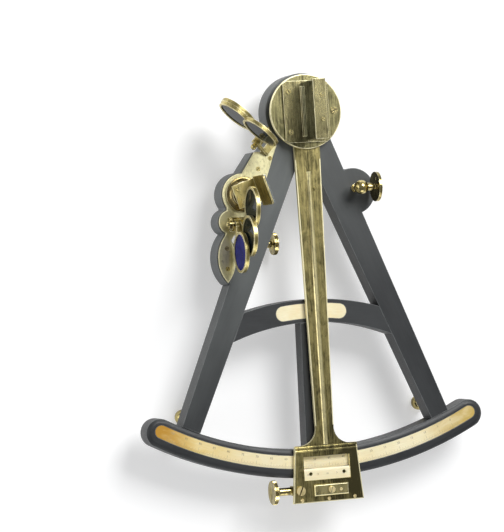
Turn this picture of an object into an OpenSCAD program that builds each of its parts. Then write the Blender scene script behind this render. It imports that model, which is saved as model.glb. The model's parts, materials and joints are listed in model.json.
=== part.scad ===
// Octant with an ebony frame, a brass index arm and an inlaid ivory scale.
// It lies on its three feet: +X to the right of the scale, +Y to the pivot, +Z to the mirrors.
// Inside the modules the pivot is at x = 0, y = 0, and z = 0 is the front of the limb.

/* [Limb] */
// Radius of the limb's inner edge about the pivot
limb_r = 284; // [270:1:290]
// Width of the limb
limb_w = 24; // [22:1:28]
// Thickness of the limb
limb_t = 21; // [17:0.5:25]
// Angle from the middle of the limb to the centre of each round end
limb_half_deg = 27.67; // [26.5:0.01:30]
// Width of the slope along the limb's front edges
slope_w = 4; // [1:0.5:4.5]
// Depth of that slope
slope_d = 2.5; // [0.5:0.5:5]
// Distance from the limb's inner edge to the ivory scale
scale_in = 5.3; // [5:0.1:6]
// Width of the ivory scale
scale_w = 10.7; // [8:0.1:11]
// Thickness of the ivory scale
scale_t = 1.5; // [1:0.1:3]

/* [Legs] */
// Radius of the round head at the pivot
head_r = 33; // [31:1:36]
// Distance from the middle to a leg's outer edge, at the pivot's height
leg_out_x = 14.5; // [13:0.5:16]
// Lean of a leg's outer edge
leg_out_deg = 21.95; // [21.3:0.05:22.3]
// Distance past the middle at which a leg's inner edge starts
leg_in_x = 12.3; // [10:0.1:14]
// Lean of a leg's inner edge
leg_in_deg = 23.58; // [23.3:0.01:23.9]
// How far the front of the legs lies behind the front of the limb
leg_set = 1.5; // [1:0.1:1.6]
// Radius of the ear that carries the peep sight
ear_r = 19.6; // [17:0.1:22]

/* [Cross brace] */
// Distance from the pivot to the top of the brace
brace_y = 157.5; // [145:0.5:170]
// Radius of the brace's lower edge
brace_r = 192; // [170:1:230]
// Width of the brace
brace_w = 19.5; // [18.5:0.5:24]
// Width of the bar between the brace and the limb
bar_w = 22; // [16:0.5:26]
// Thickness of that bar
bar_t = 15; // [10:0.5:18]
// Length of the ivory nameplate along its curve
name_l = 62.5; // [40:0.5:66]
// Width of the ivory nameplate
name_w = 12.5; // [8:0.5:13.5]
// Thickness of the ivory nameplate
name_t = 1.2; // [0.8:0.1:2]

/* [Feet] */
// Height of the feet under the wood
foot_h = 24; // [21:0.5:32]
// Radius of the ball at a foot's end
foot_ball_r = 6.6; // [5:0.1:7]
// Distance from the limb's inner edge to the middle of the two lower feet
foot_in = 32; // [28:1:44]
// Distance of the upper foot above the pivot
head_foot_y = 24.5; // [24.5:0.1:25]

/* [Pivot] */
// Radius of the arm's shaft
shaft_r = 5; // [4:0.1:6]
// Outer radius of the pivot bush
bush_r = 8; // [7:0.1:9]
// Radius of the plate round the pivot on the frame's front
centre_plate_r = 28; // [22:0.5:29]
// Radius of the plate round the pivot on the frame's back
back_plate_r = 15.5; // [14:0.5:16]
// Thickness of the back plate
back_plate_t = 2; // [1.5:0.1:3]

/* [Index arm] */
// Angle at which the arm stands, to the right of the middle
arm_rest_deg = 0.9; // [-4:0.1:4]
// Thickness of the arm
arm_t = 3.2; // [2.8:0.1:4]
// Width of the arm beside the mirror disc
arm_top_w = 23.5; // [21:0.5:25]
// Width of the arm above its flare
arm_low_w = 16; // [13:0.5:18]
// Radius of the hollow flare on each side
flare_r = 14; // [10:0.5:16]
// Width of the arm's end plate at its top
plate_top_w = 54.8; // [52:0.2:58]
// Width of the arm's end plate at its bottom
plate_end_w = 62.4; // [58:0.2:66]
// How far the end plate passes the limb
plate_over = 20; // [19:0.5:24]
// Width of the reading window
window_w = 41; // [36:0.5:42]
// Height of the raised rib along the arm
rib_h = 1.8; // [1:0.1:2.5]
// Width of that rib
rib_w = 4.4; // [3:0.1:6]

/* [Vernier and clamp] */
// Width of the ivory vernier
vernier_w = 9.6; // [8:0.1:10]
// Thickness of the ivory vernier
vernier_t = 1.6; // [1.2:0.1:1.8]
// Distance of the clamp to the right of the arm's middle
clamp_x = 2.3; // [0:0.1:4]
// Width of the clamp block
clamp_w = 16; // [14:0.5:18]
// Travel of the clamp each way on its screw
clamp_travel = 3; // [2:0.1:3.5]
// Radius of the tangent screw
tangent_r = 2; // [1.5:0.1:2.4]
// Radius of the tangent screw's milled head
tangent_head_r = 10; // [8:0.5:11]
// Radius of the clamp screw
clamp_screw_r = 2.5; // [2:0.1:3]
// Radius of the clamp screw's milled head
clamp_head_r = 7.5; // [6:0.5:8]

/* [Index mirror] */
// Radius of the disc under the index mirror
disc_r = 31.5; // [30:0.5:32.5]
// Thickness of that disc
disc_t = 3; // [2:0.1:4]
// Length of the mirror's brass back
mirror_l = 50; // [46:0.5:52]
// Height of the mirror's brass back above its base
mirror_h = 29; // [24:0.5:32]
// Thickness of the mirror glass
glass_t = 3; // [2:0.1:3.2]

/* [Horizon mirror] */
// Distance of the horizon mirror's centre left of the pivot
hor_x = 56.9; // [56:0.1:58]
// Distance of the horizon mirror's centre below the pivot
hor_y = 67.4; // [66.5:0.1:68]
// Angle of the mirror's face from the frame's long axis
trace_deg = 18.5; // [17:0.5:24]
// Radius of the turned base
hor_base_r = 15; // [14:0.1:15.4]
// Length of the horizon mirror's brass back
hor_l = 26; // [22:0.5:28]
// Height of the horizon mirror's brass back above its foot
hor_h = 26; // [24:0.5:32]
// Radius of the spindle through the frame
spindle_r = 4; // [3:0.1:5]
// Distance from the spindle to the adjusting screw
lever_l = 42.4; // [40:0.1:44]
// Radius of the adjusting screw
adjust_r = 2; // [1.6:0.1:2.2]
// Radius of the adjusting screw's head
adjust_head_r = 9.25; // [8:0.25:10]

/* [Shades] */
// Outer radius of a shade's ring
shade_r = 17; // [16:0.1:17.5]
// Radius of a shade's clear opening
shade_open_r = 15; // [13:0.1:15]
// Thickness of a shade's ring
shade_t = 3.4; // [3:0.1:3.6]
// Distance from one shade to the next along their pin
shade_pitch = 3.8; // [3.8:0.1:4]
// Thickness of a shade's glass
shade_glass_t = 1.6; // [1:0.1:2]
// Radius of the shades' pins
pin_r = 1.55; // [1.2:0.05:2]
// Length of an index shade, from its pin to the middle of its glass
index_shade_l = 28; // [27:0.5:29]
// Length of a horizon shade, from its pin to the middle of its glass
hor_shade_l = 26; // [25:0.5:27]

/* [Peep sight] */
// Radius of the peep sight's disc
peep_r = 12.6; // [11:0.1:13.5]
// Height of the peep sight's middle above the limb's front
peep_z = 14.5; // [14:0.1:16]
// Distance between the two pinholes
pinhole_gap = 7.5; // [6:0.1:8]

/* [Fits] */
// Thickness of the brass fittings let down on the wood
fit_t = 2; // [1.8:0.1:2.5]
// Gap round a shaft or a pin in its bore
fit = 0.05; // [0.02:0.01:0.1]
// Gap between parts that pass each other
run = 0.3; // [0.2:0.05:0.4]

/* [Hidden] */
$fn = 72;
// Number of steps in a full turn of the long curves about the pivot
LONG_FN = 360;
// Extra depth of a cut past the face it starts from
CUT = 1;

EBONY = [0.16, 0.17, 0.18];
BRASS = [0.72, 0.63, 0.33];
PALE_BRASS = [0.85, 0.78, 0.50];
IVORY = [0.90, 0.86, 0.74];
SILVERED = [0.80, 0.82, 0.82];
DARK_GLASS = [0.10, 0.12, 0.11];
BLUE_GLASS = [0.16, 0.16, 0.50];

// Levels above the limb's front
leg_z = -leg_set;
back_z = -limb_t;
fit_z = leg_z + fit_t;
arm_z = max(fit_z, 0) + run;
arm_top = arm_z + arm_t;
disc_top = arm_top + disc_t;
back_plate_z = back_z - back_plate_t;

// Radii of the limb, the scale and the arm's end
limb_end_r = limb_r + limb_w;
limb_mid_r = limb_r + limb_w / 2;
scale_r = limb_r + scale_in;
scale_end_r = scale_r + scale_w;
arm_end_r = limb_end_r + plate_over;

// The whole frame stands with its box centred on x = 0 and y = 0 and its feet on z = 0
arm_reach = arm_end_r * cos(arm_rest_deg) + plate_end_w / 2 * abs(sin(arm_rest_deg));
pivot_y = (arm_reach - head_r) / 2;
front_z = limb_t + foot_h;

// Half the distance between the outer edges, or the inner edges, of the legs at a depth
function leg_out(depth) = leg_out_x + depth * tan(leg_out_deg);
function leg_in(depth) = depth * tan(leg_in_deg) - leg_in_x;
function leg_mid(depth) = (leg_out(depth) + leg_in(depth)) / 2;
legs_meet_y = leg_in_x / tan(leg_in_deg);

// Places on the frame
ear_at = [42, -68];
peep_at = [43.4, -65.4];
hor_at = [-hor_x, -hor_y];
hor_pin_at = [-63.3, -hor_y - 25.1];
hor_pin_z = fit_z + 10.5;
index_pin_at = [-40.2, -20.5];
index_pin_z = fit_z + 5.5;
index_dir = -42;
head_foot_at = [0, head_foot_y];
foot_y = limb_r - foot_in;
lower_foot_x = leg_mid(foot_y);
// The adjusting nut hangs this far to the right of the spindle
nut_dx = 6.4;
nut_dy = sqrt(lever_l * lever_l - nut_dx * nut_dx);
nut_at = [hor_at[0] + nut_dx, hor_at[1] - nut_dy];
adjust_z = back_z - 9;

module in_frame() {
  translate([0, pivot_y, front_z]) children();
}

module on_arm() {
  in_frame() rotate([0, 0, arm_rest_deg]) children();
}

module on_horizon() {
  in_frame() translate(hor_at) rotate([0, 0, trace_deg]) children();
}

// Lays a shade pin along local Z, with local X pointing along the shade
module on_pin(at, z, dir, swing) {
  in_frame() translate([at[0], at[1], z]) rotate([0, 0, dir]) rotate([90, 0, 0])
    rotate([0, 0, swing]) children();
}

module tube(r, bore, z0, z1) {
  difference() {
    translate([0, 0, z0]) cylinder(r = r, h = z1 - z0);
    translate([0, 0, z0 - CUT]) cylinder(r = bore, h = z1 - z0 + 2 * CUT);
  }
}

module rod(r, z0, z1) {
  translate([0, 0, z0]) cylinder(r = r, h = z1 - z0);
}

// Band about the origin with round ends, below it, from radius r0 to r1 and z0 to z1
module arc_band(r0, r1, half_deg, z0, z1) {
  rotate([0, 0, -90 - half_deg]) rotate_extrude(angle = 2 * half_deg, $fn = LONG_FN)
    translate([r0, z0]) square([r1 - r0, z1 - z0]);
  for (side = [-1, 1]) rotate([0, 0, -90 + side * half_deg]) translate([(r0 + r1) / 2, 0, 0])
    rotate([0, 0, side > 0 ? 0 : 180]) rotate_extrude(angle = 180)
      translate([0, z0]) square([(r1 - r0) / 2, z1 - z0]);
}

// Flat bar along X on the z = 0 face, with its four top edges bevelled
module bevelled_bar(l, w, t, bevel) {
  intersection() {
    translate([-l / 2, 0, 0]) rotate([90, 0, 90]) linear_extrude(l) bevelled_profile(w, t, bevel);
    translate([0, w / 2, 0]) rotate([90, 0, 0]) linear_extrude(w) bevelled_profile(l, t, bevel);
  }
}

module bevelled_profile(w, t, bevel) {
  polygon([
    [-w / 2, 0], [w / 2, 0], [w / 2, t - bevel], [w / 2 - bevel, t], [bevel - w / 2, t],
    [-w / 2, t - bevel]
  ]);
}

// Slotted screw: a flat head on the z = 0 face and a shank below it
module slot_screw(head_r, head_h, shank_r, shank_l, slot_deg = 0) {
  slot_w = head_r * 0.28;
  slot_d = head_h * 0.45;
  difference() {
    union() {
      cylinder(r = head_r, h = head_h);
      translate([0, 0, -shank_l]) cylinder(r = shank_r, h = shank_l);
    }
    rotate([0, 0, slot_deg]) translate([-head_r - CUT, -slot_w / 2, head_h - slot_d])
      cube([2 * (head_r + CUT), slot_w, head_h]);
  }
}

// Turned thumb head on the z = 0 face: a neck, a cove and a milled disc with a hollow face
module thumb_head(r, neck_r, l, disc_l) {
  hollow_r = r * 0.62;
  hollow_d = disc_l * 0.35;
  ball_r = (hollow_r * hollow_r + hollow_d * hollow_d) / (2 * hollow_d);
  difference() {
    rotate_extrude() difference() {
      union() {
        square([neck_r, l]);
        translate([0, l - disc_l]) square([r, disc_l]);
        translate([0, l - disc_l - neck_r]) square([2 * neck_r, neck_r]);
      }
      translate([2 * neck_r, l - disc_l - neck_r]) circle(r = neck_r);
    }
    translate([0, 0, l + ball_r - hollow_d]) sphere(r = ball_r, $fn = 96);
  }
}

// Wood

fittings_screws_at = [[-42.3, -46.6], [-31.5, -38], [-40.5, -58.5], [-73, -112], [-73, -129]];
fittings_screw_r = 2;
fittings_shank_r = 1.1;
fittings_shank_l = 8;
centre_screw_r = (bush_r + centre_plate_r) / 2;
back_screw_r = (bush_r + back_plate_r) / 2;

// Outline of the brass plate on the left leg; grow widens it for the wood beneath
module fittings_outline(grow) {
  waist_r = 17.5 + grow;
  lower_r = 10 + grow;
  leaf_x = -73;
  leaf_r = 30.4 + grow;
  leaf_off = 22.9;
  translate(hor_at) circle(r = waist_r);
  translate([-68.5, -90]) circle(r = lower_r);
  translate([leaf_x, -120.5]) intersection() {
    translate([-leaf_off, 0]) circle(r = leaf_r);
    translate([leaf_off, 0]) circle(r = leaf_r);
  }
  polygon([
    [-23.9, -24.1], [-28.4, -20.1], [-39.4, -32.3], [-45 - grow, -32.4],
    [-56.9 - grow, -50.3 + grow], [-69 - grow, -68], [-71.2 - grow, -78.8], [-72, -96],
    [-75 - grow, -107], [-70.5 + grow, -107], [-64, -99.5], [-54 + grow, -98.5],
    [-52 + grow, -85], [-38, -62], [-35.8, -56]
  ]);
}

module leg_outline() {
  reach = limb_end_r;
  intersection() {
    circle(r = limb_r - fit, $fn = LONG_FN);
    union() {
      intersection() {
        circle(r = head_r);
        translate([0, -head_r]) square([head_r + CUT, 2 * head_r + CUT]);
      }
      polygon([
        [0, 0], [leg_out(0), 0], [leg_out(reach), -reach], [leg_in(reach), -reach],
        [0, -legs_meet_y]
      ]);
    }
  }
}

module leg_block() {
  translate([0, 0, back_z]) linear_extrude(leg_z - back_z) children();
}

module foot_sockets() {
  for (at = [head_foot_at, [-lower_foot_x, -foot_y], [lower_foot_x, -foot_y]])
    translate(at) rod(spigot_r + fit, back_z - CUT, back_z + spigot_l);
}

module centre_holes() {
  rod(bush_r + fit, back_z - CUT, leg_z + CUT);
  for (a = [45:90:359]) rotate([0, 0, a]) {
    translate([centre_screw_r, 0, 0]) rod(fittings_shank_r + fit, leg_z - fittings_shank_l, leg_z + CUT);
    translate([back_screw_r, 0, 0]) rod(back_shank_r + fit, back_z - CUT, back_z + back_shank_l);
  }
}

module left_leg() {
  color(EBONY) in_frame() difference() {
    leg_block() union() {
      mirror([1, 0]) leg_outline();
      fittings_outline(1.3);
    }
    centre_holes();
    foot_sockets();
    translate(hor_at) rod(spindle_r + fit, back_z - CUT, leg_z + CUT);
    for (at = fittings_screws_at)
      translate(at) rod(fittings_shank_r + fit, leg_z - fittings_shank_l, leg_z + CUT);
    adjuster_shank_holes();
  }
}

module right_leg() {
  color(EBONY) in_frame() difference() {
    leg_block() union() {
      leg_outline();
      translate(ear_at) circle(r = ear_r);
    }
    centre_holes();
    foot_sockets();
    translate(peep_at) rod(peep_spigot_r + fit, leg_z - peep_spigot_l, leg_z + CUT);
  }
}

// Cross-section of the limb, with its two front edges sloped off
module limb_profile() {
  polygon([
    [limb_r, back_z], [limb_end_r, back_z], [limb_end_r, -slope_d],
    [limb_end_r - slope_w, 0], [limb_r + slope_w, 0], [limb_r, -slope_d]
  ]);
}

module limb_end_profile() {
  half_w = limb_w / 2;
  polygon([[0, back_z], [half_w, back_z], [half_w, -slope_d], [half_w - slope_w, 0], [0, 0]]);
}

module limb() {
  color(EBONY) in_frame() difference() {
    union() {
      rotate([0, 0, -90 - limb_half_deg]) rotate_extrude(angle = 2 * limb_half_deg, $fn = LONG_FN)
        limb_profile();
      for (side = [-1, 1]) rotate([0, 0, -90 + side * limb_half_deg]) translate([limb_mid_r, 0, 0])
        rotate([0, 0, side > 0 ? 0 : 180]) rotate_extrude(angle = 180) limb_end_profile();
    }
    arc_band(scale_r - fit, scale_end_r + fit, limb_half_deg, -scale_t, CUT);
  }
}

module arc_scale() {
  color(IVORY) in_frame() arc_band(scale_r, scale_end_r, limb_half_deg, -scale_t, 0);
}

brace_cy = -(brace_y + brace_r + brace_w);
name_mid_r = brace_r + brace_w / 2;
name_lean_deg = 0.23;

// Space between the legs
module between_legs() {
  polygon([[0, -legs_meet_y], [leg_in(limb_end_r), -limb_end_r], [-leg_in(limb_end_r), -limb_end_r]]);
}

module cross_brace() {
  color(EBONY) in_frame() difference() {
    leg_block() intersection() {
      between_legs();
      translate([0, brace_cy]) difference() {
        circle(r = brace_r + brace_w, $fn = LONG_FN);
        circle(r = brace_r, $fn = LONG_FN);
      }
    }
    name_band(fit, leg_z + CUT);
  }
}

// Round-ended band along the middle of the brace, let in by its own thickness
module name_band(grow, top_z) {
  half_w = name_w / 2 + grow;
  half_deg = (name_l - name_w) / 2 / name_mid_r * 180 / PI;
  translate([0, brace_cy]) rotate([0, 0, 180 + name_lean_deg])
    arc_band(name_mid_r - half_w, name_mid_r + half_w, half_deg, leg_z - name_t, top_z);
}

module name_plate() {
  color(IVORY) in_frame() name_band(0, leg_z);
}

module centre_bar() {
  color(EBONY) in_frame() translate([0, 0, leg_z - bar_t]) linear_extrude(bar_t) intersection() {
    circle(r = limb_r - fit, $fn = LONG_FN);
    translate([0, brace_cy]) circle(r = brace_r - fit, $fn = LONG_FN);
    translate([-bar_w / 2, -limb_end_r]) square([bar_w, limb_end_r - brace_y]);
  }
}

// Feet

spigot_r = 3;
spigot_l = 8;
foot_flange_r = 7.2;
foot_flange_t = 2;
foot_waist_r = 3.5;

// Turned foot below the z = 0 face: a flange, a hollow neck and a ball with a flat end
module foot() {
  ball_z = -foot_h + foot_ball_r * 0.67;
  neck_top_r = foot_flange_r - 0.6;
  neck_l = -foot_flange_t - ball_z;
  neck_d = neck_top_r - foot_waist_r;
  cove_r = (neck_l * neck_l / 4 + neck_d * neck_d) / (2 * neck_d);
  rotate_extrude() intersection() {
    translate([0, -foot_h]) square([foot_flange_r, foot_h + spigot_l]);
    union() {
      square([spigot_r, spigot_l]);
      translate([0, -foot_flange_t]) square([foot_flange_r, foot_flange_t]);
      difference() {
        translate([0, ball_z]) square([neck_top_r, neck_l]);
        translate([foot_waist_r + cove_r, ball_z + neck_l / 2]) circle(r = cove_r, $fn = LONG_FN);
      }
      translate([0, ball_z]) circle(r = foot_ball_r);
    }
  }
}

module feet() {
  color(BRASS) in_frame() for (at = [head_foot_at, [-lower_foot_x, -foot_y], [lower_foot_x, -foot_y]])
    translate([at[0], at[1], back_z]) foot();
}

// Pivot

back_screw_head_r = 1.7;
back_shank_r = 0.9;
back_shank_l = 6;
pivot_screw_r = 2.5;
washer_r = 9.5;
washer_t = 2;
shaft_end_z = back_plate_z - run;

module centre_plate() {
  color(BRASS) in_frame() difference() {
    rod(centre_plate_r, leg_z, fit_z);
    rod(bush_r + fit, leg_z - CUT, fit_z + CUT);
    for (a = [45:90:359]) rotate([0, 0, a]) translate([centre_screw_r, 0, 0])
      rod(fittings_screw_r + fit, leg_z - CUT, fit_z + CUT);
  }
}

module pivot_bush() {
  color(BRASS) in_frame() tube(bush_r, shaft_r + fit, back_plate_z, fit_z);
}

module back_plate() {
  color(BRASS) in_frame() difference() {
    rod(back_plate_r, back_plate_z, back_z);
    rod(bush_r + fit, back_plate_z - CUT, back_z + CUT);
    for (a = [45:90:359]) rotate([0, 0, a]) translate([back_screw_r, 0, 0])
      rod(back_screw_head_r + fit, back_plate_z - CUT, back_z + CUT);
  }
}

module back_screws() {
  color(BRASS) in_frame() for (a = [45:90:359]) rotate([0, 0, a]) translate([back_screw_r, 0, back_z])
    mirror([0, 0, 1]) slot_screw(back_screw_head_r, back_plate_t, back_shank_r, back_shank_l, 30 + a);
}

module pivot_shaft() {
  color(BRASS) on_arm() difference() {
    rod(shaft_r, shaft_end_z, arm_top);
    rod(pivot_screw_r + fit, shaft_end_z - CUT, shaft_end_z + 10 + fit);
  }
}

module pivot_washer() {
  color(BRASS) on_arm() tube(washer_r, pivot_screw_r + fit, shaft_end_z - washer_t, shaft_end_z);
}

module pivot_screw() {
  color(PALE_BRASS) on_arm() translate([0, 0, shaft_end_z - washer_t]) mirror([0, 0, 1])
    slot_screw(6, 3, pivot_screw_r, washer_t + 10, 70);
}

// Fittings on the frame's front

module fittings_plate() {
  color(PALE_BRASS) in_frame() difference() {
    translate([0, 0, leg_z]) linear_extrude(fit_t) fittings_outline(0);
    translate(hor_at) rod(spindle_r + fit, leg_z - CUT, fit_z + CUT);
    for (at = fittings_screws_at) translate(at) rod(fittings_screw_r + fit, leg_z - CUT, fit_z + CUT);
  }
}

module fittings_screws() {
  color(BRASS) in_frame() {
    for (i = [0:len(fittings_screws_at) - 1]) translate(fittings_screws_at[i]) translate([0, 0, leg_z])
      slot_screw(fittings_screw_r, fit_t, fittings_shank_r, fittings_shank_l, 35 + 50 * i);
    for (a = [45:90:359]) rotate([0, 0, a]) translate([centre_screw_r, 0, leg_z])
      slot_screw(fittings_screw_r, fit_t, fittings_shank_r, fittings_shank_l, 20 + a);
  }
}

cheek_in = shade_pitch + shade_t / 2 + run;
cheek_t = 2;
cheek_out = cheek_in + cheek_t;
cheek_r = 4.2;
shade_foot_t = 2;

// Two cheeks that hold a shade pin, rising from a foot on the fittings plate
module shade_cheeks(at, z, dir, foot_from, foot_to) {
  foot_z = fit_z - z;
  on_pin(at, z, dir, 0) difference() {
    union() {
      for (side = [-1, 1]) translate([0, 0, side * (cheek_in + cheek_out) / 2 - cheek_t / 2])
        linear_extrude(cheek_t) union() {
          circle(r = cheek_r);
          polygon([
            [foot_from, foot_z], [foot_to, foot_z], [foot_to, foot_z + shade_foot_t],
            [cheek_r * 0.5, cheek_r * 0.85], [-cheek_r * 0.85, -cheek_r * 0.5]
          ]);
        }
      translate([foot_from, foot_z, -cheek_in - CUT])
        cube([foot_to - foot_from, shade_foot_t, 2 * (cheek_in + CUT)]);
    }
    cylinder(r = pin_r + fit, h = 2 * cheek_out + 2 * CUT, center = true);
  }
}

module index_shade_bracket() {
  color(BRASS) shade_cheeks(index_pin_at, index_pin_z, index_dir, 8.5, 14.5);
}

module horizon_shade_bracket() {
  color(BRASS) shade_cheeks(hor_pin_at, hor_pin_z, 90, -5.5, 6.3);
}

// Shade pin with a ball on one end and a domed nut on the other
module shade_pin(nut_r, nut_l, ball_r) {
  cylinder(r = pin_r, h = 2 * cheek_out, center = true);
  translate([0, 0, cheek_out]) rotate_extrude() {
    square([ball_r * 0.8, 1]);
    intersection() {
      translate([0, ball_r]) circle(r = ball_r);
      square([ball_r, 2 * ball_r]);
    }
  }
  translate([0, 0, -cheek_out]) mirror([0, 0, 1]) rotate_extrude() intersection() {
    square([nut_r, nut_l]);
    union() {
      square([nut_r, nut_l / 2]);
      translate([0, nut_l / 2]) circle(r = min(nut_r, nut_l / 2));
    }
  }
}

module index_shade_pin() {
  color(PALE_BRASS) on_pin(index_pin_at, index_pin_z, index_dir, 0) shade_pin(4, 3, 2.6);
}

module horizon_shade_pin() {
  color(PALE_BRASS) on_pin(hor_pin_at, hor_pin_z, 90, 0) shade_pin(3.6, 5, 2);
}

// Shades

module shade_ring(shade_l) {
  difference() {
    union() {
      cylinder(r = cheek_r, h = shade_t, center = true);
      translate([0, -3, -shade_t / 2]) cube([shade_l - shade_open_r - 0.5, 6, shade_t]);
      translate([shade_l, 0, 0]) cylinder(r = shade_r, h = shade_t, center = true);
    }
    cylinder(r = pin_r + fit, h = shade_t + CUT, center = true);
    translate([shade_l, 0, 0]) {
      cylinder(r = shade_open_r, h = shade_t + CUT, center = true);
      cylinder(r = shade_open_r + 0.3, h = shade_glass_t, center = true);
    }
  }
}

module shade_glass(shade_l) {
  translate([shade_l, 0, 0]) cylinder(r = shade_open_r + 0.3 - fit, h = shade_glass_t, center = true);
}

index_swing = [185, 178, 108];
hor_swing = [60, 114, 155];

module on_index_shade(i) {
  on_pin(index_pin_at, index_pin_z, index_dir, index_swing[i])
    translate([0, 0, (i - 1) * shade_pitch]) children();
}

module on_horizon_shade(i) {
  on_pin(hor_pin_at, hor_pin_z, 90, hor_swing[i]) translate([0, 0, (1 - i) * shade_pitch]) children();
}

module index_ring(i) {
  color(BRASS) on_index_shade(i) shade_ring(index_shade_l);
}

module index_lens(i) {
  color(DARK_GLASS) on_index_shade(i) shade_glass(index_shade_l);
}

module horizon_ring(i) {
  color(BRASS) on_horizon_shade(i) shade_ring(hor_shade_l);
}

module horizon_lens(i) {
  color(i == 2 ? BLUE_GLASS : DARK_GLASS) on_horizon_shade(i) shade_glass(hor_shade_l);
}

// Peep sight

peep_spigot_r = 2;
peep_spigot_l = 8;
peep_stem_r = 2.4;
peep_ball_r = 6;
peep_flange_r = 3.6;
peep_collar_r = 3.4;
peep_collar_l = 3.4;
peep_disc_x = 12.1;
peep_disc_t = 2.5;
shutter_arm = pinhole_gap;
shutter_pivot = [pinhole_gap * sin(60), pinhole_gap / 2];

// Puts the peep disc's axis along local Z, with local X along the frame's length
module on_peep() {
  in_frame() translate([peep_at[0], peep_at[1], peep_z]) rotate([90, 0, 90]) children();
}

module peep_post() {
  color(PALE_BRASS) in_frame() translate(peep_at) rotate_extrude() {
    translate([0, leg_z - peep_spigot_l]) square([peep_spigot_r, peep_spigot_l]);
    translate([0, leg_z]) square([peep_flange_r, fit_t]);
    translate([0, leg_z]) square([peep_stem_r, peep_z - leg_z]);
    intersection() {
      translate([0, peep_z]) circle(r = peep_ball_r);
      translate([0, peep_z - peep_ball_r]) square([peep_ball_r, 2 * peep_ball_r]);
    }
  }
}

module peep_vane() {
  color(BRASS) on_peep() difference() {
    union() {
      rod(2.2, peep_ball_r - 0.1, peep_disc_x);
      rotate_extrude() {
        translate([0, peep_disc_x]) square([peep_r, peep_disc_t]);
        translate([0, peep_ball_r - 0.6]) square([peep_collar_r, peep_collar_l]);
      }
    }
    sphere(r = peep_ball_r + fit);
    for (y = [0, pinhole_gap]) translate([0, y, 0]) rod(0.8, -CUT, peep_disc_x + peep_disc_t + CUT);
    translate(shutter_pivot) rod(1 + fit, peep_disc_x - CUT, peep_disc_x + peep_disc_t + CUT);
  }
}

module peep_shutter() {
  face = peep_disc_x + peep_disc_t;
  color(PALE_BRASS) on_peep() translate(shutter_pivot) {
    rod(1, peep_disc_x + 0.2, face + fit);
    translate([0, 0, face + fit]) linear_extrude(1) {
      circle(r = 2.2);
      rotate([0, 0, 150]) {
        translate([0, -1.1]) square([shutter_arm, 2.2]);
        translate([shutter_arm, 0]) circle(r = 2.4);
      }
    }
    rod(1.6, face + fit + 1, face + fit + 1.8);
  }
}

// Adjuster on the frame's back

bracket_at = [nut_at[0] + 12.2, nut_at[1]];
bracket_t = 4;
bracket_foot_t = 2;
bracket_screw_dy = 7.5;
bracket_shank_r = 1.2;
bracket_shank_l = 8;

module adjuster_shank_holes() {
  for (side = [-1, 1]) translate([bracket_at[0], bracket_at[1] + side * bracket_screw_dy, 0])
    rod(bracket_shank_r + fit, back_z - bracket_foot_t - CUT, back_z + bracket_shank_l);
}

module adjuster_bracket() {
  color(BRASS) in_frame() {
    difference() {
      union() {
        translate([bracket_at[0] - 3, bracket_at[1] - 10, back_z - bracket_foot_t])
          cube([6, 20, bracket_foot_t]);
        translate([bracket_at[0] - bracket_t / 2, bracket_at[1] - 4, adjust_z])
          cube([bracket_t, 8, back_z - adjust_z]);
        translate([bracket_at[0] - bracket_t / 2, bracket_at[1], adjust_z]) rotate([0, 90, 0])
          cylinder(r = 4, h = bracket_t);
      }
      translate([bracket_at[0] - bracket_t, bracket_at[1], adjust_z]) rotate([0, 90, 0])
        cylinder(r = adjust_r + fit, h = 2 * bracket_t);
      adjuster_shank_holes();
    }
    for (side = [-1, 1])
      translate([bracket_at[0], bracket_at[1] + side * bracket_screw_dy, back_z - bracket_foot_t])
        mirror([0, 0, 1]) slot_screw(2, 1, bracket_shank_r, bracket_foot_t + bracket_shank_l, 40);
  }
}

module adjuster_screw() {
  collar_x = bracket_at[0] + bracket_t / 2 + run;
  color(PALE_BRASS) in_frame() translate([0, nut_at[1], adjust_z]) rotate([0, 90, 0]) {
    rod(adjust_r, nut_at[0] - 10, collar_x);
    rod(adjust_r * 1.7, collar_x - bracket_t - 2 * run - 1, collar_x - bracket_t - 2 * run);
    translate([0, 0, collar_x]) thumb_head(adjust_head_r, adjust_r * 1.7, 16, 3.5);
  }
}

// Index arm

rib_from = 50.5;
rib_to = limb_r - 4;
flare_y = limb_r - 4 - flare_r;
plate_top_y = limb_r - 4;
window_y = scale_r + 0.1;
vernier_y = scale_end_r - 0.3;
vernier_end_y = vernier_y + vernier_w;
shelf_y = vernier_y + 1.3;
shelf_t = 1.2;
slot_y = limb_end_r + 10;
slot_l = 15.5;
slot_w = 4.4;
rivet_y = arm_end_r - 2.5;
rivets_x = [-23.6, 0.3, 23.2];
bearing_x = -24.6;
bearing_w = 10;
vernier_screws_x = [-14.7, 14.9];
vernier_screw_y = vernier_y + 4.2;
disc_screw_x = 25;
base_screws = [[-15, -17], [-15, 17], [14, -21], [14, 21]];
screw_shank_r = 1;

module arm_outline() {
  half_low = arm_low_w / 2;
  half_top = arm_top_w / 2;
  circle(r = half_top);
  polygon([
    [-half_top, 0], [-half_low, -flare_y], [-half_low, -plate_top_y],
    [half_low, -plate_top_y], [half_low, -flare_y], [half_top, 0]
  ]);
  difference() {
    translate([-half_low - flare_r, -plate_top_y]) square([2 * (half_low + flare_r), flare_r]);
    for (side = [-1, 1]) translate([side * (half_low + flare_r), -flare_y]) circle(r = flare_r);
  }
  polygon([
    [-plate_top_w / 2, -plate_top_y], [plate_top_w / 2, -plate_top_y],
    [plate_end_w / 2, -arm_end_r], [-plate_end_w / 2, -arm_end_r]
  ]);
}

// Round-ended band about the pivot, l long, in which the clamp slides
module clamp_band(l, w, z0, z1) {
  half_deg = (l - w) / 2 / slot_y * 180 / PI;
  rotate([0, 0, asin(clamp_x / slot_y)]) arc_band(slot_y - w / 2, slot_y + w / 2, half_deg, z0, z1);
}

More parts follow.
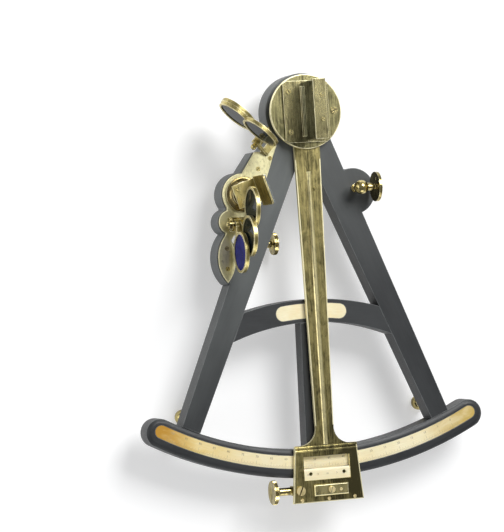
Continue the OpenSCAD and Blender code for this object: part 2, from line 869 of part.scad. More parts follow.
// Half-round bead across the end plate
module bead(y, r) {
  intersection() {
    translate([-plate_top_w / 2, -y, arm_top]) rotate([0, 90, 0]) cylinder(r = r, h = plate_top_w);
    translate([-plate_top_w, -y - r, arm_top]) cube([2 * plate_top_w, 2 * r, 2 * r]);
  }
}

module index_arm() {
  color(BRASS) on_arm() difference() {
    union() {
      translate([0, 0, arm_z]) linear_extrude(arm_t) arm_outline();
      for (y = [plate_top_y + 1.4, plate_top_y + 4.4]) bead(y, 1.1);
      translate([arm_low_w * 0.3, -65, arm_top]) cylinder(r1 = 1.4, r2 = 1.1, h = 1.6);
    }
    rod(shaft_r + fit, arm_z - CUT, arm_top + CUT);
    translate([-window_w / 2, -shelf_y, arm_z - CUT]) cube([window_w, shelf_y - window_y, arm_t + 2 * CUT]);
    translate([-window_w / 2, -vernier_end_y - fit, arm_z + shelf_t])
      cube([window_w, vernier_end_y + fit - window_y, arm_t]);
    clamp_band(slot_l, slot_w, arm_z - CUT, arm_top + CUT);
    for (x = rivets_x) translate([x, -rivet_y, 0]) rod(1 + fit, arm_z - CUT, arm_top + CUT);
    for (x = vernier_screws_x) translate([x, -vernier_screw_y, 0])
      rod(screw_shank_r + fit, arm_z - CUT, arm_top + CUT);
    translate([bearing_x, -slot_y + 0.5, 0]) rod(1.8 + fit, arm_z - CUT, arm_top + CUT);
  }
}

module arm_rib() {
  dome_r = (rib_w * rib_w / 4 + rib_h * rib_h) / (2 * rib_h);
  color(PALE_BRASS) on_arm() translate([0, -rib_from, arm_top]) rotate([90, 0, 0])
    linear_extrude(rib_to - rib_from) intersection() {
      translate([0, rib_h - dome_r]) circle(r = dome_r);
      translate([-rib_w, 0]) square([2 * rib_w, 2 * rib_h]);
    }
}

module vernier() {
  bevel = vernier_t * 0.6;
  z = arm_z + shelf_t;
  color(IVORY) on_arm() difference() {
    translate([window_w / 2 - fit, -vernier_y, z]) rotate([90, 0, -90]) linear_extrude(window_w - 2 * fit)
      polygon([
        [0, 0], [vernier_w, 0], [vernier_w, vernier_t], [2.4, vernier_t],
        [0, vernier_t - bevel]
      ]);
    for (x = vernier_screws_x) translate([x, -vernier_screw_y, 0])
      rod(screw_shank_r + fit, z - CUT, z + vernier_t + CUT);
  }
}

module vernier_screws() {
  color(PALE_BRASS) on_arm() {
    for (x = vernier_screws_x) translate([x, -vernier_screw_y, arm_z + shelf_t + vernier_t])
      slot_screw(1.4, 0.4, screw_shank_r, shelf_t + vernier_t, 15 * x);
    for (x = rivets_x) translate([x, -rivet_y, 0]) {
      rod(1, arm_z, arm_top);
      translate([0, 0, arm_top]) cylinder(r1 = 1.6, r2 = 1.1, h = 0.6);
    }
    translate([bearing_x, -slot_y + 0.5, arm_top]) slot_screw(3.9, 1.6, 1.8, arm_t, 65);
  }
}

tangent_y = slot_y - 0.5;
tangent_z = arm_z - 5.3;

module tangent_bearing() {
  color(BRASS) on_arm() difference() {
    translate([bearing_x - bearing_w / 2, -tangent_y - 4, tangent_z - 5])
      cube([bearing_w, 8, arm_z - tangent_z + 5]);
    translate([bearing_x - bearing_w, -tangent_y, tangent_z]) rotate([0, 90, 0])
      cylinder(r = tangent_r + fit, h = 2 * bearing_w);
  }
}

module tangent_screw() {
  head_l = 9;
  tangent_end_x = clamp_x + clamp_w / 2 + clamp_travel + 6;
  left = bearing_x - bearing_w / 2 - run;
  right = bearing_x + bearing_w / 2 + run;
  color(PALE_BRASS) on_arm() translate([0, -tangent_y, tangent_z]) {
    translate([left, 0, 0]) rotate([0, 90, 0]) rod(tangent_r, 0, tangent_end_x - left);
    translate([right, 0, 0]) rotate([0, 90, 0]) rod(tangent_r * 1.7, 0, 2);
    translate([left, 0, 0]) rotate([0, -90, 0])
      thumb_head(tangent_head_r, tangent_r * 1.7, head_l + 8.6, 3.5);
  }
}

// Clamp

clamp_from = limb_end_r + 2.8;
clamp_to = limb_end_r + 16;
jaw_from = limb_r + 13;
jaw_z = back_z - 4;
clamp_screw_y = limb_r + 19;
stem_l = slot_l - 2 * clamp_travel - 1.5;
stem_w = slot_w - 2 * run;
land_w = 3;
relief_r = tangent_r + 0.5;
slide_l = 30.5;
slide_w = 9.5;
slide_t = 1.8;
slide_z = arm_top + 0.2;
slide_screw_r = 1.2;
slide_rivet_at = [10.7, -slot_y - 0.4];

module clamp_block() {
  color(BRASS) on_arm() difference() {
    union() {
      translate([clamp_x - clamp_w / 2, -clamp_to, jaw_z])
        cube([clamp_w, clamp_to - clamp_from, arm_z - 0.5 - jaw_z]);
      translate([clamp_x - clamp_w / 2, -clamp_to, jaw_z])
        cube([clamp_w, clamp_to - jaw_from, back_z - 0.4 - jaw_z]);
      clamp_band(stem_l, stem_w, arm_z - 1, slide_z);
    }
    translate([clamp_x - clamp_w, -tangent_y, tangent_z]) rotate([0, 90, 0])
      cylinder(r = tangent_r + fit, h = 2 * clamp_w);
    for (side = [-1, 1]) translate([side * land_w / 2, -tangent_y, tangent_z])
      rotate([0, side * 90, 0]) cylinder(r = relief_r, h = clamp_w);
    translate([clamp_x, -clamp_screw_y, 0]) rod(clamp_screw_r + fit, jaw_z - CUT, back_z + CUT);
    translate([clamp_x, -slot_y, 0]) rod(slide_screw_r + fit, arm_z - 0.9, slide_z + CUT);
  }
}

module slide_bar() {
  color(PALE_BRASS) on_arm() difference() {
    translate([clamp_x, -slot_y, slide_z]) bevelled_bar(slide_l, slide_w, slide_t, 0.7);
    translate([clamp_x, -slot_y, 0]) rod(slide_screw_r + fit, slide_z - CUT, slide_z + slide_t + CUT);
    translate(slide_rivet_at) rod(0.7 + fit, slide_z - CUT, slide_z + slide_t + CUT);
  }
}

module slide_screw() {
  color(BRASS) on_arm() {
    translate([clamp_x, -slot_y, slide_z + slide_t])
      slot_screw(2.8, 1, slide_screw_r, slide_t + slide_z - arm_z + 0.7, 75);
    translate(slide_rivet_at) {
      rod(0.7, slide_z, slide_z + slide_t);
      translate([0, 0, slide_z + slide_t]) cylinder(r1 = 1.3, r2 = 0.8, h = 0.4);
    }
  }
}

module clamp_screw() {
  head_l = 8;
  color(PALE_BRASS) on_arm() translate([clamp_x, -clamp_screw_y, 0]) {
    rod(clamp_screw_r, jaw_z - 4, back_z - 0.2);
    translate([0, 0, jaw_z - 4]) mirror([0, 0, 1]) thumb_head(clamp_head_r, clamp_screw_r * 1.3, head_l, 3);
  }
}

// Index mirror

mirror_base_t = 2;
mirror_base_z = disc_top;
mirror_z = mirror_base_z + mirror_base_t;
mirror_back_t = 2;
cap_t = 1.5;
cap_screws_y = [-9, 11];
clip_t = 1.4;

module index_disc() {
  color(BRASS) on_arm() difference() {
    rod(disc_r, arm_top, disc_top);
    translate([disc_screw_x, 0, 0]) rod(screw_shank_r + fit, arm_top - CUT, disc_top + CUT);
    for (at = base_screws) translate(at) rod(screw_shank_r + fit, disc_top - 2, disc_top + CUT);
  }
}

module mirror_frame() {
  cap_x = -glass_t - 0.6;
  color(BRASS) on_arm() difference() {
    union() {
      intersection() {
        translate([-20, -mirror_l / 2 - 1, mirror_base_z]) cube([40, mirror_l + 2, mirror_base_t]);
        rod(disc_r - 0.5, mirror_base_z, mirror_z);
      }
      translate([0, -mirror_l / 2, mirror_z]) cube([mirror_back_t, mirror_l, mirror_h]);
      translate([cap_x, -mirror_l / 2, mirror_z + mirror_h]) cube([7.5 - cap_x, mirror_l, cap_t]);
      translate([-glass_t - fit - clip_t, -mirror_l / 2 + 4, mirror_z]) cube([clip_t, mirror_l - 8, 3]);
      for (y = [-15, 15]) translate([mirror_back_t, y + 1.25, mirror_z]) rotate([90, 0, 0])
        linear_extrude(2.5) difference() {
          square([12, mirror_h * 0.75]);
          translate([12, mirror_h * 0.75]) circle(r = 11);
          translate([11, mirror_h * 0.2]) square([4, mirror_h]);
        }
    }
    for (at = base_screws) translate(at) rod(screw_shank_r + fit, mirror_base_z - CUT, mirror_z + CUT);
  }
}

module index_glass() {
  color(SILVERED) on_arm() translate([-glass_t, -mirror_l / 2 + 0.5, mirror_z])
    cube([glass_t, mirror_l - 1, mirror_h]);
}

module mirror_screws() {
  color(PALE_BRASS) on_arm() {
    for (at = base_screws) translate([at[0], at[1], mirror_z])
      slot_screw(2.2, 1, screw_shank_r, mirror_base_t + 1.9, 17 * at[0] + at[1]);
    translate([disc_screw_x, 0, disc_top]) slot_screw(3, 1.2, screw_shank_r, disc_t, 20);
    for (y = cap_screws_y) translate([3.5, y, mirror_z + mirror_h + cap_t])
      slot_screw(1.6, 0.8, 0.5, 0.01, 5 * y);
  }
}

// Horizon mirror

hor_base_z = fit_z + run;
hor_rim_t = 1.5;
hor_cove_h = 4.3;
hor_top_r = hor_base_r - 4.5;
hor_foot_z = hor_base_z + hor_rim_t + hor_cove_h;
hor_foot_t = 1.5;
hor_mirror_z = hor_foot_z + hor_foot_t;
hor_foot_w = 20;
hor_foot_x = -9;
hor_back_t = 1.5;
hor_back_x = 11;
hor_back_y = -1.5;
hor_glass_t = 2.5;
hor_end_x = hor_back_x + hor_back_t + hor_glass_t;

module horizon_base() {
  color(BRASS) on_horizon() rotate_extrude() {
    translate([0, hor_base_z]) square([hor_base_r, hor_rim_t]);
    difference() {
      translate([0, hor_base_z + hor_rim_t]) square([hor_base_r - 0.2, hor_cove_h]);
      translate([hor_top_r + hor_cove_h, hor_foot_z]) circle(r = hor_cove_h);
      translate([hor_top_r + hor_cove_h, hor_base_z + hor_rim_t]) square([hor_base_r, hor_cove_h + CUT]);
    }
  }
}

module horizon_frame() {
  color(BRASS) on_horizon() {
    translate([hor_foot_x, -hor_foot_w / 2, hor_foot_z])
      cube([hor_end_x - 0.5 - hor_foot_x, hor_foot_w, hor_foot_t]);
    translate([hor_back_x, hor_back_y, hor_mirror_z]) rotate([90, 0, 90])
      linear_extrude(hor_back_t) difference() {
      translate([-hor_l / 2, 0]) square([hor_l, hor_h]);
      for (side = [-1, 1]) difference() {
        translate([side * (hor_l / 2) - 3, hor_h - 3]) square([6, 6]);
        translate([side * (hor_l / 2 - 3), hor_h - 3]) circle(r = 3);
      }
    }
  }
}

module horizon_glass() {
  color(SILVERED) on_horizon()
    translate([hor_back_x + hor_back_t, hor_back_y - hor_l / 2 + 1, hor_mirror_z])
    cube([hor_glass_t, hor_l - 2, hor_h - 4]);
}

module horizon_screws() {
  color(PALE_BRASS) on_horizon() for (y = [-6, 6]) translate([-4.5, y, hor_mirror_z])
    slot_screw(2, 1.1, 0.5, 0.01, 30 + 8 * y);
}

module horizon_spindle() {
  color(BRASS) in_frame() translate(hor_at) {
    rod(spindle_r, back_z - 2.3 - run, hor_base_z);
    rod(spindle_r + 2, back_z - 5.3, back_z - 2 - run);
  }
}

module horizon_lever() {
  nut_r = adjust_r + 1.8;
  lever_t = 2;
  lever_deg = atan2(-nut_dy, nut_dx);
  lever_top = back_z - run;
  color(BRASS) in_frame() difference() {
    union() {
      translate(hor_at) rod(2 * spindle_r, lever_top - lever_t, lever_top);
      translate(hor_at) rotate([0, 0, lever_deg]) translate([0, -4, lever_top - lever_t])
        cube([lever_l - 3, 8, lever_t]);
      translate([nut_at[0] - 2, nut_at[1] - nut_r - 2, adjust_z - nut_r - 1.5])
        cube([4, 2 * nut_r + 4, lever_top - adjust_z + nut_r + 1.5]);
    }
    translate(hor_at) rod(spindle_r + fit, lever_top - lever_t - CUT, lever_top + CUT);
    translate([nut_at[0] - 10, nut_at[1], adjust_z]) rotate([0, 90, 0]) cylinder(r = nut_r, h = 20);
  }
}

left_leg();
right_leg();
limb();
cross_brace();
centre_bar();
arc_scale();
name_plate();
centre_plate();
pivot_bush();
back_plate();
back_screws();
feet();
fittings_plate();
fittings_screws();
index_shade_bracket();
index_shade_pin();
horizon_shade_bracket();
horizon_shade_pin();
peep_post();
peep_vane();
adjuster_bracket();
index_arm();
arm_rib();
index_disc();
mirror_frame();
index_glass();
mirror_screws();
pivot_shaft();
pivot_washer();
pivot_screw();
vernier();
vernier_screws();
tangent_bearing();
clamp_block();
slide_bar();
slide_screw();
clamp_screw();
tangent_screw();
horizon_base();
horizon_frame();
horizon_glass();
horizon_screws();
horizon_spindle();
horizon_lever();
adjuster_screw();
peep_shutter();
index_ring(0);  // index_shade_ring_1
index_ring(1);  // index_shade_ring_2
index_ring(2);  // index_shade_ring_3
index_lens(0);  // index_shade_glass_1
index_lens(1);  // index_shade_glass_2
index_lens(2);  // index_shade_glass_3
horizon_ring(0);  // horizon_shade_ring_1
horizon_ring(1);  // horizon_shade_ring_2
horizon_ring(2);  // horizon_shade_ring_3
horizon_lens(0);  // horizon_shade_glass_1
horizon_lens(1);  // horizon_shade_glass_2
horizon_lens(2);  // horizon_shade_glass_3
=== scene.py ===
# %% [markdown]
# # A mariner's octant in ebony, brass and ivory
# The CAD model gives every piece its shape and place. This script gives the pieces their looks:
# bevelled and worn edges, grain, patina, engraved divisions, milled heads and silvered glass.
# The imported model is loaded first, because everything here is measured from it.

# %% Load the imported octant
import json
import math

import bmesh
import bpy
from mathutils import Matrix, Vector

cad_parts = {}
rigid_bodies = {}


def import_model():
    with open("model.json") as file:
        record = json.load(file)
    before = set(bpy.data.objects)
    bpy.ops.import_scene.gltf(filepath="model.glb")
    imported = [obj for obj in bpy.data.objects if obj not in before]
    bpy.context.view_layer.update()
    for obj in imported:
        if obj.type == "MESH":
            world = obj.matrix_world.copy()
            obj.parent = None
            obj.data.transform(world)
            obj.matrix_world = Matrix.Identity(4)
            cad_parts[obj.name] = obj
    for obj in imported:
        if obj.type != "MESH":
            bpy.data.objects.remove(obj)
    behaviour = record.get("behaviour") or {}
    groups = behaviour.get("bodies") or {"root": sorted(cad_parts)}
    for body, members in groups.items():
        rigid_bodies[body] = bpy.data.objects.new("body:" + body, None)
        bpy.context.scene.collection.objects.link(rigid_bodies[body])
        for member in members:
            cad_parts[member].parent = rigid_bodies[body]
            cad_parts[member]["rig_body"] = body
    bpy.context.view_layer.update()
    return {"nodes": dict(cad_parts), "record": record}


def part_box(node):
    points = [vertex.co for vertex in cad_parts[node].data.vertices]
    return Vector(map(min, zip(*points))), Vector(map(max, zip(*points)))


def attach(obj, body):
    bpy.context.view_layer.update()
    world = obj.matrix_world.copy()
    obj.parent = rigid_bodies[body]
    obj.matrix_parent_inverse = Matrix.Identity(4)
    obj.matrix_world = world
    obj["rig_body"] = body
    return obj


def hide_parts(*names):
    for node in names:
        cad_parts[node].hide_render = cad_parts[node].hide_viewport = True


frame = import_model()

mm = 0.001
slots = {row["node"]: row["material_slot"] for row in frame["record"]["subparts"]}


def middle(node):
    """The middle of a CAD node's box."""
    low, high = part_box(node)
    return (low + high) / 2


pivot = middle("centre_plate").xy
limb_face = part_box("limb")[1].z
arm_rest = math.radians(0.9)


def in_frame(x, y, z):
    """A place in millimetres from the pivot and the limb's face, as the CAD modules use it."""
    return Vector((pivot.x + x * mm, pivot.y + y * mm, limb_face + z * mm))


def on_arm(x, y, z):
    """The same for a place on the index arm, which stands a little to the right of the middle."""
    turned = Matrix.Rotation(arm_rest, 3, "Z") @ Vector((x, y, 0))
    return in_frame(turned.x, turned.y, z)


print("octant loaded:", len(frame["nodes"]), "nodes, pivot at", tuple(round(v, 4) for v in pivot))

# %% [markdown]
# ## Small tools for materials
# A finish on a real object is a few patterns laid over each other: streaks along the grain, cloudy
# patches, rubbed edges. Each helper below adds one such layer to a node tree. All of them read the
# Object coordinates, so a pattern stays on its piece from every side and at every pose.

# %% Helpers for node trees


def add(tree, kind, inputs=None, **settings):
    """Adds a shader node; an input takes either a value or another node's output."""
    node = tree.nodes.new(kind)
    for name, value in settings.items():
        setattr(node, name, value)
    for key, value in (inputs or {}).items():
        if isinstance(value, bpy.types.NodeSocket):
            tree.links.new(value, node.inputs[key])
        else:
            node.inputs[key].default_value = value
    return node


def new_finish(name):
    """A new material, with its node tree and its Principled shader."""
    material = bpy.data.materials.new(name)
    material.use_nodes = True
    return material, material.node_tree, material.node_tree.nodes["Principled BSDF"]


def place_on(tree, size, turn=0.0, at=(0, 0, 0)):
    """Object coordinates turned about Z and divided by the size of one feature along each axis."""
    place = add(tree, "ShaderNodeTexCoord").outputs["Object"]
    fitted = {"Vector": place, "Location": at, "Rotation": (0, 0, turn), "Scale": size}
    return add(tree, "ShaderNodeMapping", fitted, vector_type="TEXTURE").outputs[0]


def place_round(tree, size):
    """Coordinates that run across and along the limb's curve, for grain that follows it."""
    place = add(tree, "ShaderNodeTexCoord")
    to_pivot = {"Vector": place.outputs["Object"], "Location": (-pivot.x, -pivot.y, 0)}
    centred = add(tree, "ShaderNodeMapping", to_pivot)
    parts = add(tree, "ShaderNodeSeparateXYZ", {0: centred.outputs[0]}).outputs
    flat = add(tree, "ShaderNodeCombineXYZ", {0: parts[0], 1: parts[1]}).outputs[0]
    radius = add(tree, "ShaderNodeVectorMath", {0: flat}, operation="LENGTH").outputs["Value"]
    down = calculate(tree, "MULTIPLY", parts[1], -1.0)
    angle = calculate(tree, "ARCTAN2", parts[0], down)
    along = calculate(tree, "MULTIPLY", angle, limb_radius)
    unrolled = add(tree, "ShaderNodeCombineXYZ", {0: radius, 1: along, 2: parts[2]}).outputs[0]
    scaled = {"Vector": unrolled, "Scale": size}
    return add(tree, "ShaderNodeMapping", scaled, vector_type="TEXTURE").outputs[0]


def clouds(tree, vector, detail=3.0, roughness=0.55, warp=0.0):
    """A noise pattern from 0 to 1."""
    settings = {"Vector": vector, "Scale": 1.0, "Detail": detail, "Roughness": roughness}
    return add(tree, "ShaderNodeTexNoise", {**settings, "Distortion": warp}).outputs["Fac"]


def spread(tree, value, low, high, start=0.3, end=0.7):
    """Stretches a pattern's middle range to run from low to high."""
    limits = {"Value": value, "From Min": start, "From Max": end, "To Min": low, "To Max": high}
    return add(tree, "ShaderNodeMapRange", limits).outputs[0]


def calculate(tree, operation, *values):
    """A Math node in a shader or Geometry Nodes tree; returns its result."""
    return add(tree, "ShaderNodeMath", dict(enumerate(values)), operation=operation).outputs[0]


def product(tree, a, b):
    return calculate(tree, "MULTIPLY", a, b)


def mix(tree, factor, first, second):
    """Goes from the first colour at 0 to the second at 1."""
    node = add(tree, "ShaderNodeMix", {0: factor}, data_type="RGBA")
    for index, value in ((6, first), (7, second)):
        if isinstance(value, bpy.types.NodeSocket):
            tree.links.new(value, node.inputs[index])
        else:
            node.inputs[index].default_value = (*value, 1.0)
    return node.outputs[2]


def bumps(tree, height, strength, distance):
    """Fine relief from a pattern: a normal for the shader."""
    relief = {"Height": height, "Strength": strength, "Distance": distance}
    return add(tree, "ShaderNodeBump", relief).outputs[0]


def worn_edges(tree):
    """How far an edge is rubbed and painted as a highlight: the wear_and_highlight attribute of a
    bevel's faces, broken up by noise.
    """
    wear_and_highlight = add(tree, "ShaderNodeAttribute", attribute_name="wear_and_highlight").outputs["Fac"]
    patches = clouds(tree, place_on(tree, (8 * mm,) * 3), detail=4)
    return product(tree, wear_and_highlight, spread(tree, patches, 0.45, 1.0, 0.35, 0.6))


limb_low, limb_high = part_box("limb")
half_limb = 12 * mm
limb_radius = pivot.y - (limb_low.y + half_limb)
print("the middle of the limb runs at a radius of", round(limb_radius / mm, 1), "mm")

# %% [markdown]
# ## Ebony
# The frame is ebony, oiled and waxed: nearly black, with cool grey patches where the wax has
# dulled, fine pores along the grain and a pale line on the edges, partly rubbing and partly a
# painted highlight. The head of the legs gets a painted sheen of pale grey, most on the left leg.
# A picture of the wood would have to be fitted to every member and would show where it repeats,
# so noise that is stretched along the grain stands for it. Each member has its grain along its
# own length, so the pattern is turned for each one and follows the limb's curve.

# %% Ebony


def ebony(name, turn=None, painted_sheen=0.0, fade=200):
    """Waxed ebony with its grain turned by an angle from Y, or along the limb's curve if None.

    Painted_sheen is the share of pale grey painted over the head of the frame as a sheen of light;
    it fades out this many millimetres below the pivot."""
    material, tree, shader = new_finish(name)

    def along_grain(across, along):
        if turn is None:
            return place_round(tree, (across, along, across))
        return place_on(tree, (across, along, across), turn)

    fibres = clouds(tree, along_grain(0.9 * mm, 22 * mm), detail=5, roughness=0.65)
    pores = clouds(tree, along_grain(0.25 * mm, 3 * mm), detail=2, roughness=0.5)
    patches = clouds(tree, along_grain(16 * mm, 60 * mm), detail=3, roughness=0.6, warp=0.4)
    streaked = mix(tree, spread(tree, fibres, 0, 1), (0.004, 0.005, 0.006), (0.012, 0.014, 0.016))
    waxed = mix(tree, spread(tree, patches, 0, 0.6), streaked, (0.022, 0.0255, 0.027))
    place = add(tree, "ShaderNodeTexCoord").outputs["Object"]
    height = add(tree, "ShaderNodeSeparateXYZ", {0: place}).outputs[1]
    # A painted sheen: pale grey over the head of the legs, fading out below it.
    sheen_fade = spread(tree, height, 0, painted_sheen, pivot.y - fade * mm, pivot.y - 20 * mm)
    painted_sheen_share = product(tree, sheen_fade, spread(tree, patches, 0.8, 1.1))
    waxed = mix(tree, painted_sheen_share, waxed, (0.13, 0.142, 0.138))
    # The edges are made pale, partly rubbing and partly a painted highlight.
    rubbed_and_lit = mix(tree, product(tree, worn_edges(tree), 0.75), waxed, (0.17, 0.18, 0.18))
    tree.links.new(rubbed_and_lit, shader.inputs["Base Color"])
    dulled = spread(tree, patches, 0.42, 0.54)
    tree.links.new(dulled, shader.inputs["Roughness"])
    shader.inputs["IOR"].default_value = 1.58
    open_pores = spread(tree, pores, 0, 0.8, 0.25, 0.45)
    relief = calculate(tree, "ADD", fibres, open_pores)
    tree.links.new(bumps(tree, relief, 0.35, 0.12 * mm), shader.inputs["Normal"])
    return material


leg_lean = math.radians(22.7)
# The third number is each leg's painted sheen, stronger on the left leg.
ebony_of = {
    "left_leg": ebony("ebony_left_leg", -leg_lean, 0.8, fade=290),
    "right_leg": ebony("ebony_right_leg", leg_lean, 0.42, fade=150),
    "limb": ebony("ebony_limb"),
    "cross_brace": ebony("ebony_cross_brace", math.pi / 2),
    "centre_bar": ebony("ebony_centre_bar", 0.0),
}
print("ebony made for", ", ".join(ebony_of))

# %% [markdown]
# ## Brass
# Old lacquered brass is not one colour. Where fingers and dust have reached it, it goes olive and
# dull; where the lacquer holds, it is pale gold. The metal was also finished with abrasive along
# its length, which leaves fine streaks that stretch the highlights. One even metal would make the
# fittings look new, so noise of several sizes mixes a pale and a dark tone. They all share one
# recipe with other numbers: the arm, the disc and the mirror frame are dark, partly tarnish and
# partly painted shade; the rib and the fittings plate are pale, a painted highlight and a painted
# reflection; the turned heads are smooth.

# %% Brass


def brass(name, pale, dark, tarnish, roughness, turn=arm_rest, streak=0.25, shade=None, rim=None):
    """Brushed, aged brass: tarnish is the share of the dark tone.

    Shade adds more of it in places, and rim paints pale strips beside the bevels as a painted
    highlight."""
    material, tree, shader = new_finish(name)
    shader.inputs["Metallic"].default_value = 1.0
    hairlines = place_on(tree, (0.16 * mm, 14 * mm, 0.16 * mm), turn)
    brushed = clouds(tree, hairlines, detail=3, roughness=0.6)
    lines = place_on(tree, (0.9 * mm, 30 * mm, 0.9 * mm), turn)
    strokes = clouds(tree, lines, detail=5, roughness=0.7)
    patches = place_on(tree, (7 * mm, 16 * mm, 7 * mm), turn)
    cloudy = clouds(tree, patches, detail=5, roughness=0.62, warp=0.8)
    spots = clouds(tree, place_on(tree, (2.6 * mm,) * 3), detail=4, roughness=0.6)
    patchy = spread(tree, cloudy, tarnish - 0.35, tarnish + 0.35, 0.33, 0.67)
    lined = spread(tree, strokes, -streak, streak, 0.35, 0.65)
    share = calculate(tree, "ADD", patchy, lined)
    if shade is not None:
        share = calculate(tree, "ADD", share, shade(tree))
    share = add(tree, "ShaderNodeClamp", {0: share}).outputs[0]
    toned = mix(tree, share, pale, dark)
    spotted = mix(tree, product(tree, spread(tree, spots, 0, 1, 0.56, 0.72), 0.45), toned, dark)
    # The edges are made pale, partly rubbing and partly a painted highlight.
    edges = worn_edges(tree)
    if rim is not None:
        edges = calculate(tree, "MAXIMUM", edges, rim(tree))
    edges = add(tree, "ShaderNodeClamp", {0: edges}).outputs[0]
    rubbed_and_lit = mix(tree, edges, spotted, (1.0, 0.93, 0.62))
    tree.links.new(rubbed_and_lit, shader.inputs["Base Color"])
    tarnished = calculate(tree, "MULTIPLY_ADD", share, 0.14, roughness)
    dulled = calculate(tree, "MULTIPLY_ADD", edges, 0.25, tarnished)
    grained = calculate(tree, "MULTIPLY_ADD", spread(tree, brushed, -1, 1), 0.05, dulled)
    tree.links.new(grained, shader.inputs["Roughness"])
    tree.links.new(bumps(tree, brushed, 0.22, 0.05 * mm), shader.inputs["Normal"])
    return material


def arm_shade(tree):
    """More of the dark tone towards the lower right of the arm's end plate."""
    place = add(tree, "ShaderNodeTexCoord")
    parts = add(tree, "ShaderNodeSeparateXYZ", {0: place.outputs["Object"]}).outputs
    plate = spread(tree, parts[1], 0, 1, flare_top, flare_foot)
    across = spread(tree, parts[0], -0.1, 0.6, pivot.x - 12 * mm, pivot.x + 26 * mm)
    return product(tree, plate, across)


def arm_rim(tree):
    """A painted highlight: pale strips along the long edges of the arm and the foot of its end
    plate.
    """
    local = place_on(tree, (mm,) * 3, arm_rest, (pivot.x, pivot.y, 0))
    parts = add(tree, "ShaderNodeSeparateXYZ", {0: local}).outputs
    aside = calculate(tree, "ABSOLUTE", parts[0])
    rims = []
    for top, low, top_half, low_half in arm_sides:
        half = spread(tree, parts[1], low_half, top_half, low, top)
        inside = calculate(tree, "SUBTRACT", aside, half)
        above = calculate(tree, "GREATER_THAN", parts[1], low)
        below = calculate(tree, "LESS_THAN", parts[1], top)
        strip = spread(tree, inside, 0, 0.9, -1.0, -0.3)
        rims.append(product(tree, strip, product(tree, above, below)))
    sides = calculate(tree, "ADD", *rims)
    foot = spread(tree, parts[1], 0.9, 0, plate_foot, plate_foot + 0.8)
    return calculate(tree, "MAXIMUM", sides, foot)


# Millimetres below the pivot where each pair of straight sides runs, and its half widths there
arm_sides = ((-40, -264, 11.2, 8.0), (-282, -327, 27.5, 31.1))
plate_foot = -327.8
flare_top = pivot.y - 262 * mm
flare_foot = pivot.y - 284 * mm
gold = (0.80, 0.67, 0.27)
cream_gold = (0.76, 0.71, 0.42)
olive = (0.15, 0.125, 0.050)
aged_brass = brass("aged_brass", gold, olive, 0.45, 0.26)
# The dark tone of the arm, the disc and the mirror frame is partly tarnish and partly painted shade
# for the dark surroundings their upturned faces reflect.
arm_brass = brass(
    "arm_brass", (0.58, 0.49, 0.20), (0.075, 0.066, 0.030), 0.60, 0.28, streak=0.3,
    shade=arm_shade, rim=arm_rim,
)
disc_brass = brass("disc_brass", (0.38, 0.345, 0.165), (0.05, 0.047, 0.024), 0.5, 0.26, streak=0.35)
mirror_brass = brass(
    "mirror_brass", (0.50, 0.445, 0.222), (0.045, 0.041, 0.021), 0.5, 0.22, streak=0.3
)
# The fittings plate is pale as a painted reflection of a bright lamp.
plate_reflection_brass = brass("plate_reflection_brass", cream_gold, olive, 0.05, 0.34, streak=0.08)
# The rib is pale as a painted highlight on its raised top.
rib_highlight_brass = brass("rib_highlight_brass", (0.92, 0.82, 0.44), olive, 0.1, 0.34, streak=0.15)
bright_brass = brass("bright_brass", (0.90, 0.78, 0.37), olive, 0.15, 0.18, streak=0.12)
turned_brass = brass(
    "turned_brass", (0.80, 0.67, 0.29), (0.10, 0.08, 0.035), 0.55, 0.12, turn=0.0, streak=0.1
)
cove_brass = brass(
    "cove_brass", (0.62, 0.48, 0.19), (0.05, 0.04, 0.02), 0.7, 0.14, turn=0.0, streak=0.1
)
screw_brass = brass("screw_brass", (0.93, 0.77, 0.40), olive, 0.1, 0.46, streak=0.1)
dark_brass = brass("dark_brass", olive, (0.03, 0.03, 0.02), 0.5, 0.35)
finish_of_slot = {"aged_brass": aged_brass, "bright_brass": bright_brass}
print("brass finishes made, each with", len(aged_brass.node_tree.nodes), "shader nodes or more")

# %% [markdown]
# ## Ivory
# The arc, the vernier and the nameplate are thin strips of ivory let into the wood and the brass.
# Ivory has a faint grain along the strip, and it stains: the left end of this arc is deep orange,
# fading to cream by about a third of its length, and the right end is a little yellow. The stain
# could be painted by hand, but it only depends on how near the end is, so it is mixed in by that.

# %% Ivory


